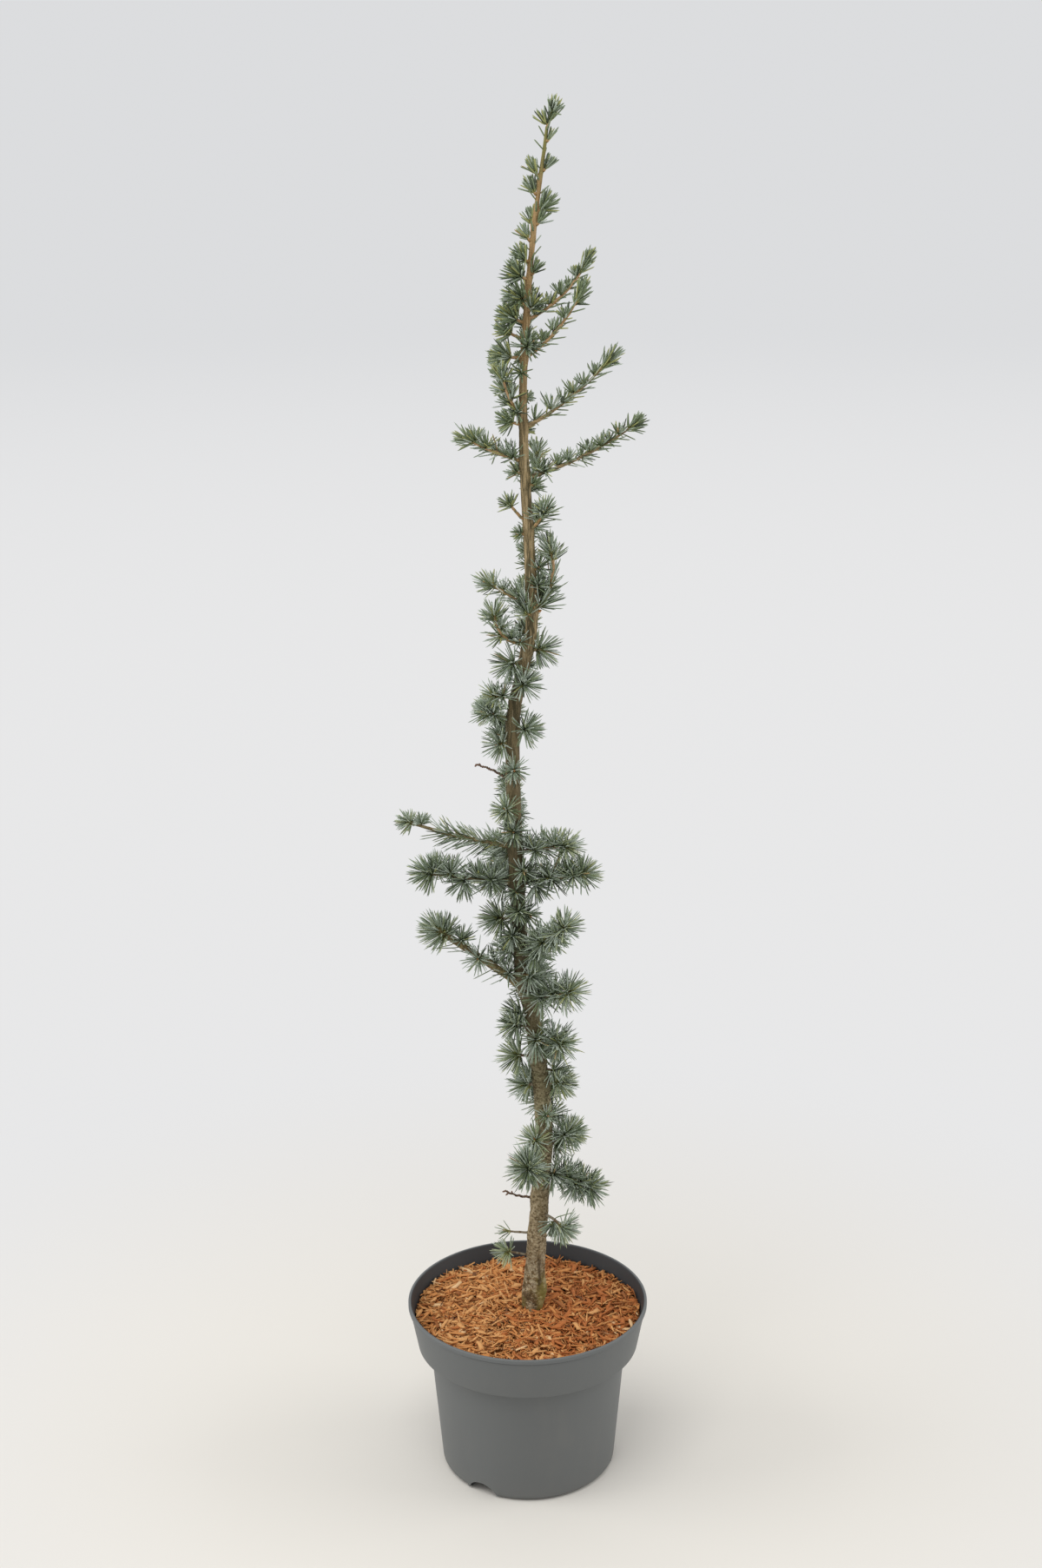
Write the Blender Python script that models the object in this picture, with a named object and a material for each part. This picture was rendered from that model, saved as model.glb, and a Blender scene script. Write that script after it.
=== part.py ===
"""A young cedar of Lebanon in a round nursery pot, as closed solids.

Metres, +Z up. The origin is the centre of the pot's flat underside, and the front faces -Y.
The trunk runs whole from the mulch to its tip. Each row of SHOOTS is a shoot that leaves it:
a long one starts as a bare bough, and its foliage is one solid of its own, a tapering stem
with whorls of needles fused on, larger and fewer than the real ones.
"""

import math
from typing import NamedTuple

import bmesh
import bpy
import numpy as np
from mathutils import Matrix

SEED = 7
GAP = 0.0003  # clear space between neighbouring pieces

# Pot: a tapered body, a step out to the collar, and a rounded rim
POT_SIDES = 48
POT_HEIGHT = 0.168
RIM_RADIUS = 0.114
RIM_EDGE = 0.003
COLLAR_FOOT_RADIUS = 0.105
COLLAR_FOOT_HEIGHT = 0.1245
BODY_TOP_RADIUS = 0.0935
BODY_TOP_HEIGHT = 0.1225
FOOT_RADIUS = 0.083
FOOT_ROUND = 0.004
WALL = 0.002
RIM_BEVEL = 0.0012
COLLAR_BEVEL = 0.001
WALL_SPREAD = (BODY_TOP_RADIUS - FOOT_RADIUS) / BODY_TOP_HEIGHT

# Drainage channels: arches under the foot that open at the wall
CHANNEL_AZIMUTHS = (237.5, 357.5, 117.5)
CHANNEL_HALF_WIDTH = 0.015
CHANNEL_HEIGHT = 0.012
CHANNEL_DEPTH = 0.028
CHANNEL_INNER = FOOT_RADIUS - CHANNEL_DEPTH
CHANNEL_OUTER = FOOT_RADIUS + 0.010  # past the wall
CHANNEL_BELOW = -0.005  # past the underside
ROOF_FOOT = 0.8 * WALL  # the height that each channel's roof starts from, within the floor
ROOF_CLEAR = 0.030  # a height above every roof
ARCH_STEPS = 8

# Mulch: fills the pot, level round the trunk and a little lower at the wall
MULCH_HEIGHT = 0.1575
MULCH_EDGE_HEIGHT = 0.152
MULCH_LEVEL_RADIUS = 0.030
MULCH_SWELL_RADIUS = 0.070
MULCH_SWELL = 0.0012

# Trunk: height, then how far the middle stands to the right and to the back
TRUNK_SIDES = 12
TRUNK_STEP = 0.030
TRUNK_BENDS = (
    (0.158, 0.004, 0.000),
    (0.273, 0.0123, 0.002),
    (0.351, 0.0161, 0.004),
    (0.452, 0.0066, 0.001),
    (0.5075, -0.0027, -0.003),
    (0.620, -0.008, -0.002),
    (0.735, -0.0093, 0.004),
    (0.7875, 0.0004, 0.003),
    (0.825, 0.0076, 0.000),
    (0.980, 0.0016, -0.003),
    (1.046, 0.002, -0.001),
    (1.145, 0.0099, 0.002),
    (1.238, 0.0225, 0.001),
)
# height and diameter
TRUNK_TAPER = (
    (0.158, 0.0235),
    (0.172, 0.0235),
    (0.200, 0.0200),
    (0.400, 0.0162),
    (0.530, 0.0142),
    (0.720, 0.0126),
    (0.830, 0.0108),
    (0.950, 0.0088),
    (1.020, 0.0070),
    (1.145, 0.0047),
    (1.238, 0.0028),
)
TRUNK_FOOT = MULCH_HEIGHT + GAP
FOOT_LUMP_AZIMUTH = 340.0  # the swelling of the old graft, low on the right
FOOT_LUMP_HEIGHT = 0.178
FOOT_LUMP_SIZE = 0.0035
FOOT_LUMP_REACH = 0.016

# Limbs and needles
LIMB_SIDES = 6
LIMB_STEP = 0.010
STEM_SIDES = 4
STEM_STEP = 0.014
TIP_DIAMETER = 0.0022
NEEDLE_RADIUS = 0.0008
NEEDLE_CLEAR = 0.0005
NEEDLE_STEP = 0.0030
TUFT_NEEDLES = 12  # the round tuft at every tip, and the whole of a short spur
SIDE_LEAN = 72.0
TIP_LEAN = 14.0
TIP_SHORTER = 0.35  # how much shorter the needles of a tip are
ROOT_OFFSET = 0.25
GOLDEN_TURN = math.radians(137.5)
# height and needle length: short on the young top, long below
NEEDLE_LENGTHS = ((0.20, 0.021), (0.75, 0.021), (1.10, 0.012), (1.26, 0.010))

BARK_COLOUR = (0.20, 0.16, 0.10, 1.0)
TWIG_COLOUR = (0.22, 0.15, 0.10, 1.0)
NEEDLE_COLOUR = (0.17, 0.25, 0.22, 1.0)
POT_COLOUR = (0.13, 0.14, 0.14, 1.0)
MULCH_COLOUR = (0.36, 0.16, 0.07, 1.0)


class Shoot(NamedTuple):
    """One shoot: sizes in metres, angles in degrees.

    azimuth turns from 0 at the right through 90 at the back. rise is the slope above the
    level, at the foot and at the tip. turn is how far the heading swings by the tip.
    bough is the bare limb's length, and first is where the needles begin on the stem.
    """

    name: str
    height: float
    azimuth: float
    length: float
    foot_rise: float
    tip_rise: float
    turn: float = 0.0
    bough: float = 0.0
    first: float = 0.0035
    thickness: float = 0.003


SHOOTS = (
    # The young top
    Shoot("left_1", 1.198, 185, 0.007, 60, 60),
    Shoot("right_1", 1.170, 350, 0.007, 45, 45),
    Shoot("back_1", 1.148, 95, 0.020, 50, 65),
    Shoot("front_1", 1.116, 250, 0.010, 35, 45),
    Shoot("right_2", 1.084, 5, 0.070, 25, 64),
    Shoot("left_2", 1.068, 185, 0.014, 35, 45),
    Shoot("back_2", 1.062, 80, 0.062, 35, 60, 15),
    Shoot("right_3", 1.053, 343, 0.076, 34, 64, -12),
    # The upper crown
    Shoot("left_3", 1.006, 205, 0.040, 50, 78, 20),
    Shoot("back_3", 1.000, 120, 0.070, 30, 50, -15),
    Shoot("right_4", 0.995, 0, 0.092, 28, 50, 0, 0.030, 0.004, 0.0034),
    Shoot("left_4", 0.966, 180, 0.050, 17, 28),
    Shoot("right_5", 0.952, 354, 0.102, 17, 37, 0, 0.032, 0.004, 0.0036),
    Shoot("back_4", 0.935, 75, 0.060, 25, 45, 10),
    Shoot("front_2", 0.908, 310, 0.022, 42, 55),
    Shoot("back_5", 0.872, 95, 0.055, 25, 40, -10),
    Shoot("right_6", 0.838, 350, 0.060, 48, 130, 0, 0, 0.046),
    Shoot("left_5", 0.838, 182, 0.048, 42, 26),
    Shoot("left_6", 0.806, 205, 0.048, 8, 84, 30),
    Shoot("right_7", 0.800, 358, 0.008, 5, 5),
    Shoot("back_6", 0.790, 80, 0.058, 20, 35, 15),
    # The middle, with its old knot
    Shoot("front_3", 0.768, 290, 0.010, 35, 35),
    Shoot("left_7", 0.758, 205, 0.028, 6, 14),
    Shoot("left_8", 0.738, 182, 0.030, 14, 20),
    Shoot("right_8", 0.728, 325, 0.010, 15, 20),
    Shoot("back_7", 0.715, 115, 0.060, 15, 30, -10),
    Shoot("front_4", 0.655, 245, 0.013, 25, 25),
    Shoot("back_8", 0.640, 90, 0.080, 10, 20, 12, 0, 0.004, 0.0038),
    # The widest whorls
    Shoot("left_9", 0.622, 180, 0.094, 9, 20, 0, 0.020, 0.004, 0.0042),
    Shoot("right_9", 0.617, 357, 0.040, 6, 10, 0, 0, 0.004, 0.0034),
    Shoot("left_10", 0.588, 190, 0.080, 7, 14, 0, 0.018, 0.004, 0.0044),
    Shoot("right_10", 0.587, 352, 0.060, 12, 10, 0, 0, 0.004, 0.0040),
    Shoot("back_9", 0.578, 110, 0.075, 12, 24, -12, 0, 0.004, 0.0038),
    Shoot("front_5", 0.566, 272, 0.010, -10, -10),
    Shoot("left_11", 0.554, 187, 0.013, 0, 5),
    Shoot("right_11", 0.518, 318, 0.066, 38, 44, 0, 0, 0.006, 0.0038),
    Shoot("left_12", 0.492, 187, 0.092, 37, 37, 0, 0.040, 0.004, 0.0064),
    Shoot("right_12", 0.478, 326, 0.048, 8, 30, 0, 0, 0.006, 0.0040),
    Shoot("back_10", 0.470, 80, 0.070, 20, 30, 15, 0, 0.006, 0.0040),
    # The foot
    Shoot("left_13", 0.448, 215, 0.016, 20, 20),
    Shoot("right_13", 0.436, 328, 0.022, -8, 8),
    Shoot("left_14", 0.417, 182, 0.013, 0, 0),
    Shoot("right_14", 0.390, 340, 0.013, 5, 12),
    Shoot("back_11", 0.365, 100, 0.035, 15, 25, 10),
    Shoot("right_15", 0.326, 2, 0.022, 42, 28),
    Shoot("front_6", 0.308, 250, 0.034, 20, 22, 0, 0, 0.012),
    Shoot("right_16", 0.297, 0, 0.045, -14, -32, 0, 0, 0.006, 0.0034),
    Shoot("right_17", 0.257, 305, 0.022, 5, -10),
    Shoot("left_15", 0.236, 182, 0.021, 5, 8, 0, 0, 0.014, 0.0024),
)
DEAD_TWIGS = (
    Shoot("dead_twig_upper", 0.684, 180, 0.030, 38, 12, 0, 0.030, 0, 0.0026),
    Shoot("dead_twig_lower", 0.273, 182, 0.026, 4, 60, 0, 0.026, 0, 0.0026),
)
LEADER = Shoot("leader", TRUNK_BENDS[-1][0], 20, 0.018, 68, 74, 0, 0, 0.004, TRUNK_TAPER[-1][1])


class Segments:
    """The straight pieces that limbs and needles take up, each with a radius and its node."""

    def __init__(self):
        """Start with nothing in the way."""
        self.ends = np.zeros((0, 2, 3))
        self.radii = np.zeros(0)
        self.nodes = []

    def add(self, start, end, radius, node):
        """Record one piece of a node."""
        self.ends = np.concatenate([self.ends, [[start, end]]])
        self.radii = np.append(self.radii, radius)
        self.nodes.append(node)

    def is_clear(self, start, end, radius, node):
        """Say whether a new piece of this node would stay off every other node."""
        other = np.array([name != node for name in self.nodes])
        gaps = segment_gaps(start, end, self.ends[other]) - self.radii[other]
        return bool((gaps > radius + NEEDLE_CLEAR).all())


def segment_gaps(start, end, others):
    """The least distance from one segment to each of the others."""
    along = end - start
    lines = others[:, 1] - others[:, 0]
    between = start - others[:, 0]
    along_sq = along @ along
    lines_sq = np.maximum((lines * lines).sum(axis=1), 1e-12)
    cross = lines @ along
    along_off = between @ along
    lines_off = (lines * between).sum(axis=1)
    spread = np.maximum(along_sq * lines_sq - cross**2, 1e-15)
    first = np.clip((cross * lines_off - lines_sq * along_off) / spread, 0, 1)
    second = np.clip((cross * first + lines_off) / lines_sq, 0, 1)
    first = np.clip((cross * second - along_off) / along_sq, 0, 1)
    nearest = between + first[:, None] * along - second[:, None] * lines
    return np.linalg.norm(nearest, axis=1)


def clear_scene():
    """Remove every object, so that the file can be run again."""
    for thing in list(bpy.data.objects):
        bpy.data.objects.remove(thing, do_unlink=True)


def make_material(name, colour, roughness):
    """A plain material of one colour."""
    material = bpy.data.materials.new(name)
    material.use_nodes = True
    shader = material.node_tree.nodes["Principled BSDF"]
    shader.inputs["Base Color"].default_value = colour
    shader.inputs["Roughness"].default_value = roughness
    shader.inputs["Metallic"].default_value = 0.0
    material.diffuse_color = colour
    return material


def make_object(name, shape, material=None):
    """An object from a bmesh, which is freed."""
    mesh = bpy.data.meshes.new(name)
    shape.to_mesh(mesh)
    shape.free()
    thing = bpy.data.objects.new(name, mesh)
    bpy.context.scene.collection.objects.link(thing)
    if material:
        mesh.materials.append(material)
    return thing


def bake_modifiers(thing):
    """Replace an object's mesh by what its modifiers make of it."""
    graph = bpy.context.evaluated_depsgraph_get()
    mesh = bpy.data.meshes.new_from_object(thing.evaluated_get(graph))
    thing.modifiers.clear()
    thing.data = mesh


def combine(thing, tool, operation):
    """Cut one object with another, or join them, and remove the tool."""
    boolean = thing.modifiers.new("Combine", "BOOLEAN")
    boolean.operation = operation
    boolean.solver = "MANIFOLD"
    boolean.object = tool
    bake_modifiers(thing)
    bpy.data.objects.remove(tool, do_unlink=True)


def turned(name, profile, material=None):
    """A solid turned about the upright axis from (radius, height) points, axis to axis."""
    shape = bmesh.new()
    points = [shape.verts.new((radius, 0.0, height)) for radius, height in profile]
    edges = [shape.edges.new(pair) for pair in zip(points, points[1:])]
    bmesh.ops.spin(
        shape,
        geom=points + edges,
        cent=(0, 0, 0),
        axis=(0, 0, 1),
        angle=math.tau,
        steps=POT_SIDES,
        use_merge=True,
    )
    bmesh.ops.remove_doubles(shape, verts=shape.verts, dist=1e-6)
    bmesh.ops.recalc_face_normals(shape, faces=shape.faces)
    thing = make_object(name, shape, material)
    thing.data.shade_smooth()
    thing.data.set_sharp_from_angle(angle=math.radians(35))
    return thing


def arch(azimuth, grow, inner, outer, bottom):
    """A prism with an arched top that points outwards from the axis, grown by an allowance."""
    shape = bmesh.new()
    half_width = CHANNEL_HALF_WIDTH + grow
    height = CHANNEL_HEIGHT + grow
    outline = [(half_width, bottom)]
    for step in range(ARCH_STEPS + 1):
        angle = math.pi * step / ARCH_STEPS
        outline.append((half_width * math.cos(angle), max(0.0, bottom) + height * math.sin(angle)))
    outline.append((-half_width, bottom))
    if bottom >= 0:
        outline = outline[1:-1]
    near = shape.faces.new([shape.verts.new((inner, side, up)) for side, up in outline])
    made = bmesh.ops.extrude_face_region(shape, geom=[near])
    far = [item for item in made["geom"] if isinstance(item, bmesh.types.BMVert)]
    bmesh.ops.translate(shape, verts=far, vec=(outer - inner, 0, 0))
    bmesh.ops.recalc_face_normals(shape, faces=shape.faces)
    turn = Matrix.Rotation(math.radians(azimuth), 3, "Z")
    bmesh.ops.rotate(shape, verts=shape.verts, cent=(0, 0, 0), matrix=turn)
    return make_object("arch", shape)


def make_pot(material):
    """The pot: thin walls, a flat underside, and an arched channel at each drainage place."""
    round_off = FOOT_ROUND * (1 - math.sqrt(0.5))
    profile = (
        (0.0, 0.0),
        (FOOT_RADIUS - FOOT_ROUND, 0.0),
        (FOOT_RADIUS - round_off, round_off),
        (FOOT_RADIUS, FOOT_ROUND),
        (BODY_TOP_RADIUS, BODY_TOP_HEIGHT),
        (COLLAR_FOOT_RADIUS - COLLAR_BEVEL, COLLAR_FOOT_HEIGHT - COLLAR_BEVEL),
        (COLLAR_FOOT_RADIUS, COLLAR_FOOT_HEIGHT),
        (RIM_RADIUS - RIM_BEVEL / 2, POT_HEIGHT - RIM_EDGE),
        (RIM_RADIUS, POT_HEIGHT - RIM_BEVEL),
        (RIM_RADIUS - RIM_BEVEL, POT_HEIGHT),
        (RIM_RADIUS - RIM_EDGE + RIM_BEVEL, POT_HEIGHT),
        (RIM_RADIUS - RIM_EDGE, POT_HEIGHT - RIM_BEVEL),
        (COLLAR_FOOT_RADIUS - WALL, COLLAR_FOOT_HEIGHT + WALL),
        (BODY_TOP_RADIUS - WALL, BODY_TOP_HEIGHT + WALL),
        (FOOT_RADIUS - WALL, WALL),
        (0.0, WALL),
    )
    pot = turned("pot", profile, material)
    for azimuth in CHANNEL_AZIMUTHS:
        roof = arch(azimuth, WALL, CHANNEL_INNER - WALL, CHANNEL_OUTER, ROOF_FOOT)
        combine(roof, inside_of_wall(), "INTERSECT")
        combine(pot, roof, "UNION")
    for azimuth in CHANNEL_AZIMUTHS:
        channel = arch(azimuth, 0.0, CHANNEL_INNER, CHANNEL_OUTER, CHANNEL_BELOW)
        combine(pot, channel, "DIFFERENCE")
    return pot


def inside_of_wall():
    """The space of the pot's foot out to the middle of its wall, which trims the roofs."""
    low = FOOT_RADIUS - WALL / 2
    high = low + WALL_SPREAD * ROOF_CLEAR
    return turned("within", ((0.0, 0.0), (low, 0.0), (high, ROOF_CLEAR), (0.0, ROOF_CLEAR)))


def mulch_height(radius, angle):
    """The height of the mulch's top: level round the trunk, then falling in low swells."""
    if radius <= MULCH_LEVEL_RADIUS:
        return MULCH_HEIGHT
    fall = (radius - MULCH_LEVEL_RADIUS) / (RIM_RADIUS - MULCH_LEVEL_RADIUS)
    swell = MULCH_SWELL * fall * (math.sin(3 * angle) + math.sin(5 * angle + 1.0) - 1.0)
    return MULCH_HEIGHT + (MULCH_EDGE_HEIGHT - MULCH_HEIGHT) * fall + swell


def inner_radius(height):
    """The radius inside the pot's wall at a height above the shoulder."""
    low = COLLAR_FOOT_HEIGHT + WALL
    high = POT_HEIGHT - RIM_BEVEL
    share = (height - low) / (high - low)
    return COLLAR_FOOT_RADIUS - WALL + share * (RIM_RADIUS - RIM_EDGE - COLLAR_FOOT_RADIUS + WALL)


def make_mulch(material):
    """The fill: soil with mulch on it, as wide as the pot's inside."""
    top_radius = inner_radius(MULCH_EDGE_HEIGHT) - 2 * GAP
    profile = (
        (0.0, WALL + GAP),
        (FOOT_RADIUS - WALL - GAP, WALL + GAP),
        (BODY_TOP_RADIUS - WALL - GAP, BODY_TOP_HEIGHT + WALL),
        (COLLAR_FOOT_RADIUS - WALL - 2 * GAP, COLLAR_FOOT_HEIGHT + WALL + 2 * GAP),
        (top_radius, MULCH_EDGE_HEIGHT),
        (MULCH_SWELL_RADIUS, MULCH_HEIGHT),
        (MULCH_LEVEL_RADIUS, MULCH_HEIGHT),
        (0.0, MULCH_HEIGHT),
    )
    mulch = turned("mulch", profile, material)
    for corner in mulch.data.vertices:
        radius = math.hypot(corner.co.x, corner.co.y)
        if corner.co.z > MULCH_EDGE_HEIGHT - GAP and radius < top_radius - GAP:
            corner.co.z = mulch_height(radius, math.atan2(corner.co.y, corner.co.x))
    for azimuth in CHANNEL_AZIMUTHS:
        room = arch(azimuth, WALL + 2 * GAP, CHANNEL_INNER - WALL - GAP, CHANNEL_OUTER, ROOF_FOOT)
        combine(mulch, room, "DIFFERENCE")
    return mulch


def between(value, rows, column):
    """Read a column of a table at a value of its first column, on straight lines."""
    return float(np.interp(value, [row[0] for row in rows], [row[column] for row in rows]))


def trunk_middle(height):
    """The middle of the trunk at a height, on a smooth curve through its bends."""
    heights = [row[0] for row in TRUNK_BENDS]
    after = min(max(int(np.searchsorted(heights, height)), 1), len(heights) - 1)
    low, high = heights[after - 1], heights[after]
    share = (height - low) / (high - low)
    place = [0.0, 0.0, height]
    for column in (1, 2):
        slopes = []
        for knot in (after - 1, after):
            before_knot, after_knot = max(knot - 1, 0), min(knot + 1, len(heights) - 1)
            rise = TRUNK_BENDS[after_knot][column] - TRUNK_BENDS[before_knot][column]
            slopes.append(rise / (heights[after_knot] - heights[before_knot]) * (high - low))
        start, end = TRUNK_BENDS[after - 1][column], TRUNK_BENDS[after][column]
        place[column - 1] = (
            start * (1 + 2 * share) * (1 - share) ** 2
            + slopes[0] * share * (1 - share) ** 2
            + end * share**2 * (3 - 2 * share)
            + slopes[1] * share**2 * (share - 1)
        )
    return np.array(place)


def trunk_radius(height):
    """Half the trunk's diameter at a height."""
    return between(height, TRUNK_TAPER, 1) / 2


def foot_lump(height, angle):
    """How far the swelling at the foot stands out at a height and an angle."""
    off = math.remainder(angle - math.radians(FOOT_LUMP_AZIMUTH), math.tau)
    spread = (off / 0.8) ** 2 + ((height - FOOT_LUMP_HEIGHT) / FOOT_LUMP_REACH) ** 2
    return FOOT_LUMP_SIZE * math.exp(-spread)


def make_trunk(material):
    """The trunk: level rings up its bends, closed at the ground cut and at the tip."""
    shape = bmesh.new()
    tip = TRUNK_BENDS[-1][0]
    steps = round((tip - TRUNK_FOOT) / TRUNK_STEP)
    rings = []
    for step in range(steps + 1):
        height = TRUNK_FOOT + (tip - TRUNK_FOOT) * step / steps
        middle = trunk_middle(height)
        ring = []
        for side in range(TRUNK_SIDES):
            angle = math.tau * side / TRUNK_SIDES
            radius = trunk_radius(height) + foot_lump(height, angle)
            corner = middle + radius * np.array([math.cos(angle), math.sin(angle), 0.0])
            ring.append(shape.verts.new(corner))
        rings.append(ring)
    close_rings(shape, rings)
    trunk = make_object("trunk", shape, material)
    trunk.data.shade_smooth()
    trunk.data.set_sharp_from_angle(angle=math.radians(60))
    return trunk


def close_rings(shape, rings):
    """Join rings of corners into one closed skin with flat ends."""
    count = len(rings[0])
    for low, high in zip(rings, rings[1:]):
        for side in range(count):
            after = (side + 1) % count
            shape.faces.new((low[side], low[after], high[after], high[side]))
    shape.faces.new(list(reversed(rings[0])))
    shape.faces.new(rings[-1])


def heading(azimuth, rise):
    """The unit direction of an azimuth and a rise, in degrees."""
    turn, slope = math.radians(azimuth), math.radians(rise)
    flat = math.cos(slope)
    return np.array([flat * math.cos(turn), flat * math.sin(turn), math.sin(slope)])


def shoot_foot(shoot):
    """Where a shoot's middle line starts: at the trunk's skin, or on top of its tip."""
    middle = trunk_middle(shoot.height)
    if shoot is LEADER:
        return middle + np.array([0.0, 0.0, GAP])
    return middle + (trunk_radius(shoot.height) + 2 * GAP) * heading(shoot.azimuth, 0.0)


def shoot_point(shoot, distance):
    """The place and direction on a shoot's middle line at a distance from its foot."""
    steps = 16
    place = shoot_foot(shoot)
    for step in range(steps):
        share = (step + 0.5) / steps * distance / shoot.length
        place = place + distance / steps * shoot_heading(shoot, share)
    return place, shoot_heading(shoot, distance / shoot.length)


def shoot_heading(shoot, share):
    """The direction of a shoot at a share of its length."""
    rise = shoot.foot_rise + (shoot.tip_rise - shoot.foot_rise) * share
    return heading(shoot.azimuth + shoot.turn * share, rise)


def shoot_radius(shoot, distance):
    """Half the diameter of a shoot at a distance from its foot."""
    share = distance / shoot.length
    return (shoot.thickness + (min(TIP_DIAMETER, shoot.thickness) - shoot.thickness) * share) / 2


def across(direction):
    """Two unit directions square to a direction and to each other."""
    side = np.cross(direction, [0.0, 0.0, 1.0])
    if np.linalg.norm(side) < 0.05:
        side = np.array([1.0, 0.0, 0.0])
    side = side / np.linalg.norm(side)
    return side, np.cross(side, direction)


def limb_stations(shoot, start, end, spacing):
    """Distances along a shoot, evenly from start to end."""
    steps = max(1, round((end - start) / spacing))
    return [start + (end - start) * step / steps for step in range(steps + 1)]


def limb_shape(shoot, start, end, spacing, sides):
    """A stretch of a shoot as a closed tapering tube, whose foot is flush with the trunk."""
    shape = bmesh.new()
    rings = []
    for distance in limb_stations(shoot, start, end, spacing):
        place, direction = shoot_point(shoot, distance)
        if distance == 0.0:
            direction = heading(shoot.azimuth, 90.0 if shoot is LEADER else 0.0)
        side, up = across(direction)
        ring = []
        for corner in range(sides):
            angle = math.tau * corner / sides
            offset = math.cos(angle) * side + math.sin(angle) * up
            ring.append(shape.verts.new(place + shoot_radius(shoot, distance) * offset))
        rings.append(ring)
    close_rings(shape, rings)
    bmesh.ops.recalc_face_normals(shape, faces=shape.faces)
    return shape


def claim_limb(taken, shoot, start, end, node):
    """Record the space that a stretch of a shoot takes up."""
    stations = limb_stations(shoot, start, end, LIMB_STEP)
    for low, high in zip(stations, stations[1:]):
        taken.add(shoot_point(shoot, low)[0], shoot_point(shoot, high)[0], shoot_radius(shoot, low), node)


def claim_trunk(taken):
    """Record the space that the trunk takes up."""
    heights = np.arange(TRUNK_FOOT, TRUNK_BENDS[-1][0], TRUNK_STEP)
    for low, high in zip(heights, heights[1:]):
        taken.add(trunk_middle(low), trunk_middle(high), trunk_radius(low), "trunk")


def needle_length(height):
    """How long the needles are at a height."""
    return between(height, NEEDLE_LENGTHS, 1)


def needle_rows(shoot, rng):
    """Each needle's root, direction and length: a spiral up the stem that closes over its tip."""
    start = shoot.bough + shoot.first
    count = max(TUFT_NEEDLES, round((shoot.length - start) / NEEDLE_STEP))
    found = []
    for number in range(count):
        distance = start + (shoot.length - start) * number / (count - 1)
        place, direction = shoot_point(shoot, distance)
        side, up = across(direction)
        angle = GOLDEN_TURN * number + rng.uniform(-0.2, 0.2)
        outward = math.cos(angle) * side + math.sin(angle) * up
        closing = max(0.0, (number + TUFT_NEEDLES - count) / (TUFT_NEEDLES - 1))
        lean = math.radians(SIDE_LEAN + (TIP_LEAN - SIDE_LEAN) * closing**1.5 + rng.uniform(-9, 9))
        line = math.cos(lean) * direction + math.sin(lean) * outward
        root = place + ROOT_OFFSET * shoot_radius(shoot, distance) * outward
        length = needle_length(place[2]) * (1 - TIP_SHORTER * closing) * rng.uniform(0.85, 1.08)
        found.append((root, line, length))
    return found


def needle_shape(root, line, length):
    """One needle: a slim three-sided spike."""
    shape = bmesh.new()
    side, up = across(line)
    corners = []
    for corner in range(3):
        angle = math.tau * corner / 3
        offset = math.cos(angle) * side + math.sin(angle) * up
        corners.append(shape.verts.new(root + NEEDLE_RADIUS * offset))
    tip = shape.verts.new(root + length * line)
    shape.faces.new(corners)
    for first, second in zip(corners, corners[1:] + corners[:1]):
        shape.faces.new((first, second, tip))
    bmesh.ops.recalc_face_normals(shape, faces=shape.faces)
    return shape


def keep_largest_shell(thing):
    """Drop loose scraps, and fill the hollows that fusing sealed, by keeping one skin."""
    shape = bmesh.new()
    shape.from_mesh(thing.data)
    left = set(shape.verts)
    shells = []
    while left:
        shell = set()
        edge = [left.pop()]
        while edge:
            corner = edge.pop()
            shell.add(corner)
            for link in corner.link_edges:
                other = link.other_vert(corner)
                if other in left:
                    left.remove(other)
                    edge.append(other)
        shells.append(shell)
    largest = max(shells, key=len)
    scraps = [corner for shell in shells if shell is not largest for corner in shell]
    bmesh.ops.delete(shape, geom=scraps, context="VERTS")
    shape.to_mesh(thing.data)
    shape.free()


def make_foliage(shoot, taken, rng, material):
    """A shoot's foliage: its stem and the needles that clear their neighbours, as one solid."""
    name = "foliage_" + shoot.name
    start = shoot.bough + GAP if shoot.bough else 0.0
    foliage = make_object(name, limb_shape(shoot, start, shoot.length, STEM_STEP, STEM_SIDES), material)
    needles = bpy.data.collections.new("needles")
    for root, line, length in needle_rows(shoot, rng):
        if not taken.is_clear(root, root + length * line, NEEDLE_RADIUS, name):
            continue
        taken.add(root, root + length * line, NEEDLE_RADIUS, name)
        needle = make_object("needle", needle_shape(root, line, length))
        bpy.context.scene.collection.objects.unlink(needle)
        needles.objects.link(needle)
    union = foliage.modifiers.new("Fuse needles", "BOOLEAN")
    union.operation = "UNION"
    union.solver = "MANIFOLD"
    union.operand_type = "COLLECTION"
    union.collection = needles
    bake_modifiers(foliage)
    for needle in list(needles.objects):
        bpy.data.objects.remove(needle, do_unlink=True)
    bpy.data.collections.remove(needles)
    keep_largest_shell(foliage)
    return foliage


def make_limb(shoot, name, material):
    """A bare limb, from the trunk to where its foliage begins."""
    limb = make_object(name, limb_shape(shoot, 0.0, shoot.bough, LIMB_STEP, LIMB_SIDES), material)
    limb.data.shade_smooth()
    limb.data.set_sharp_from_angle(angle=math.radians(60))
    return limb


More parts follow.
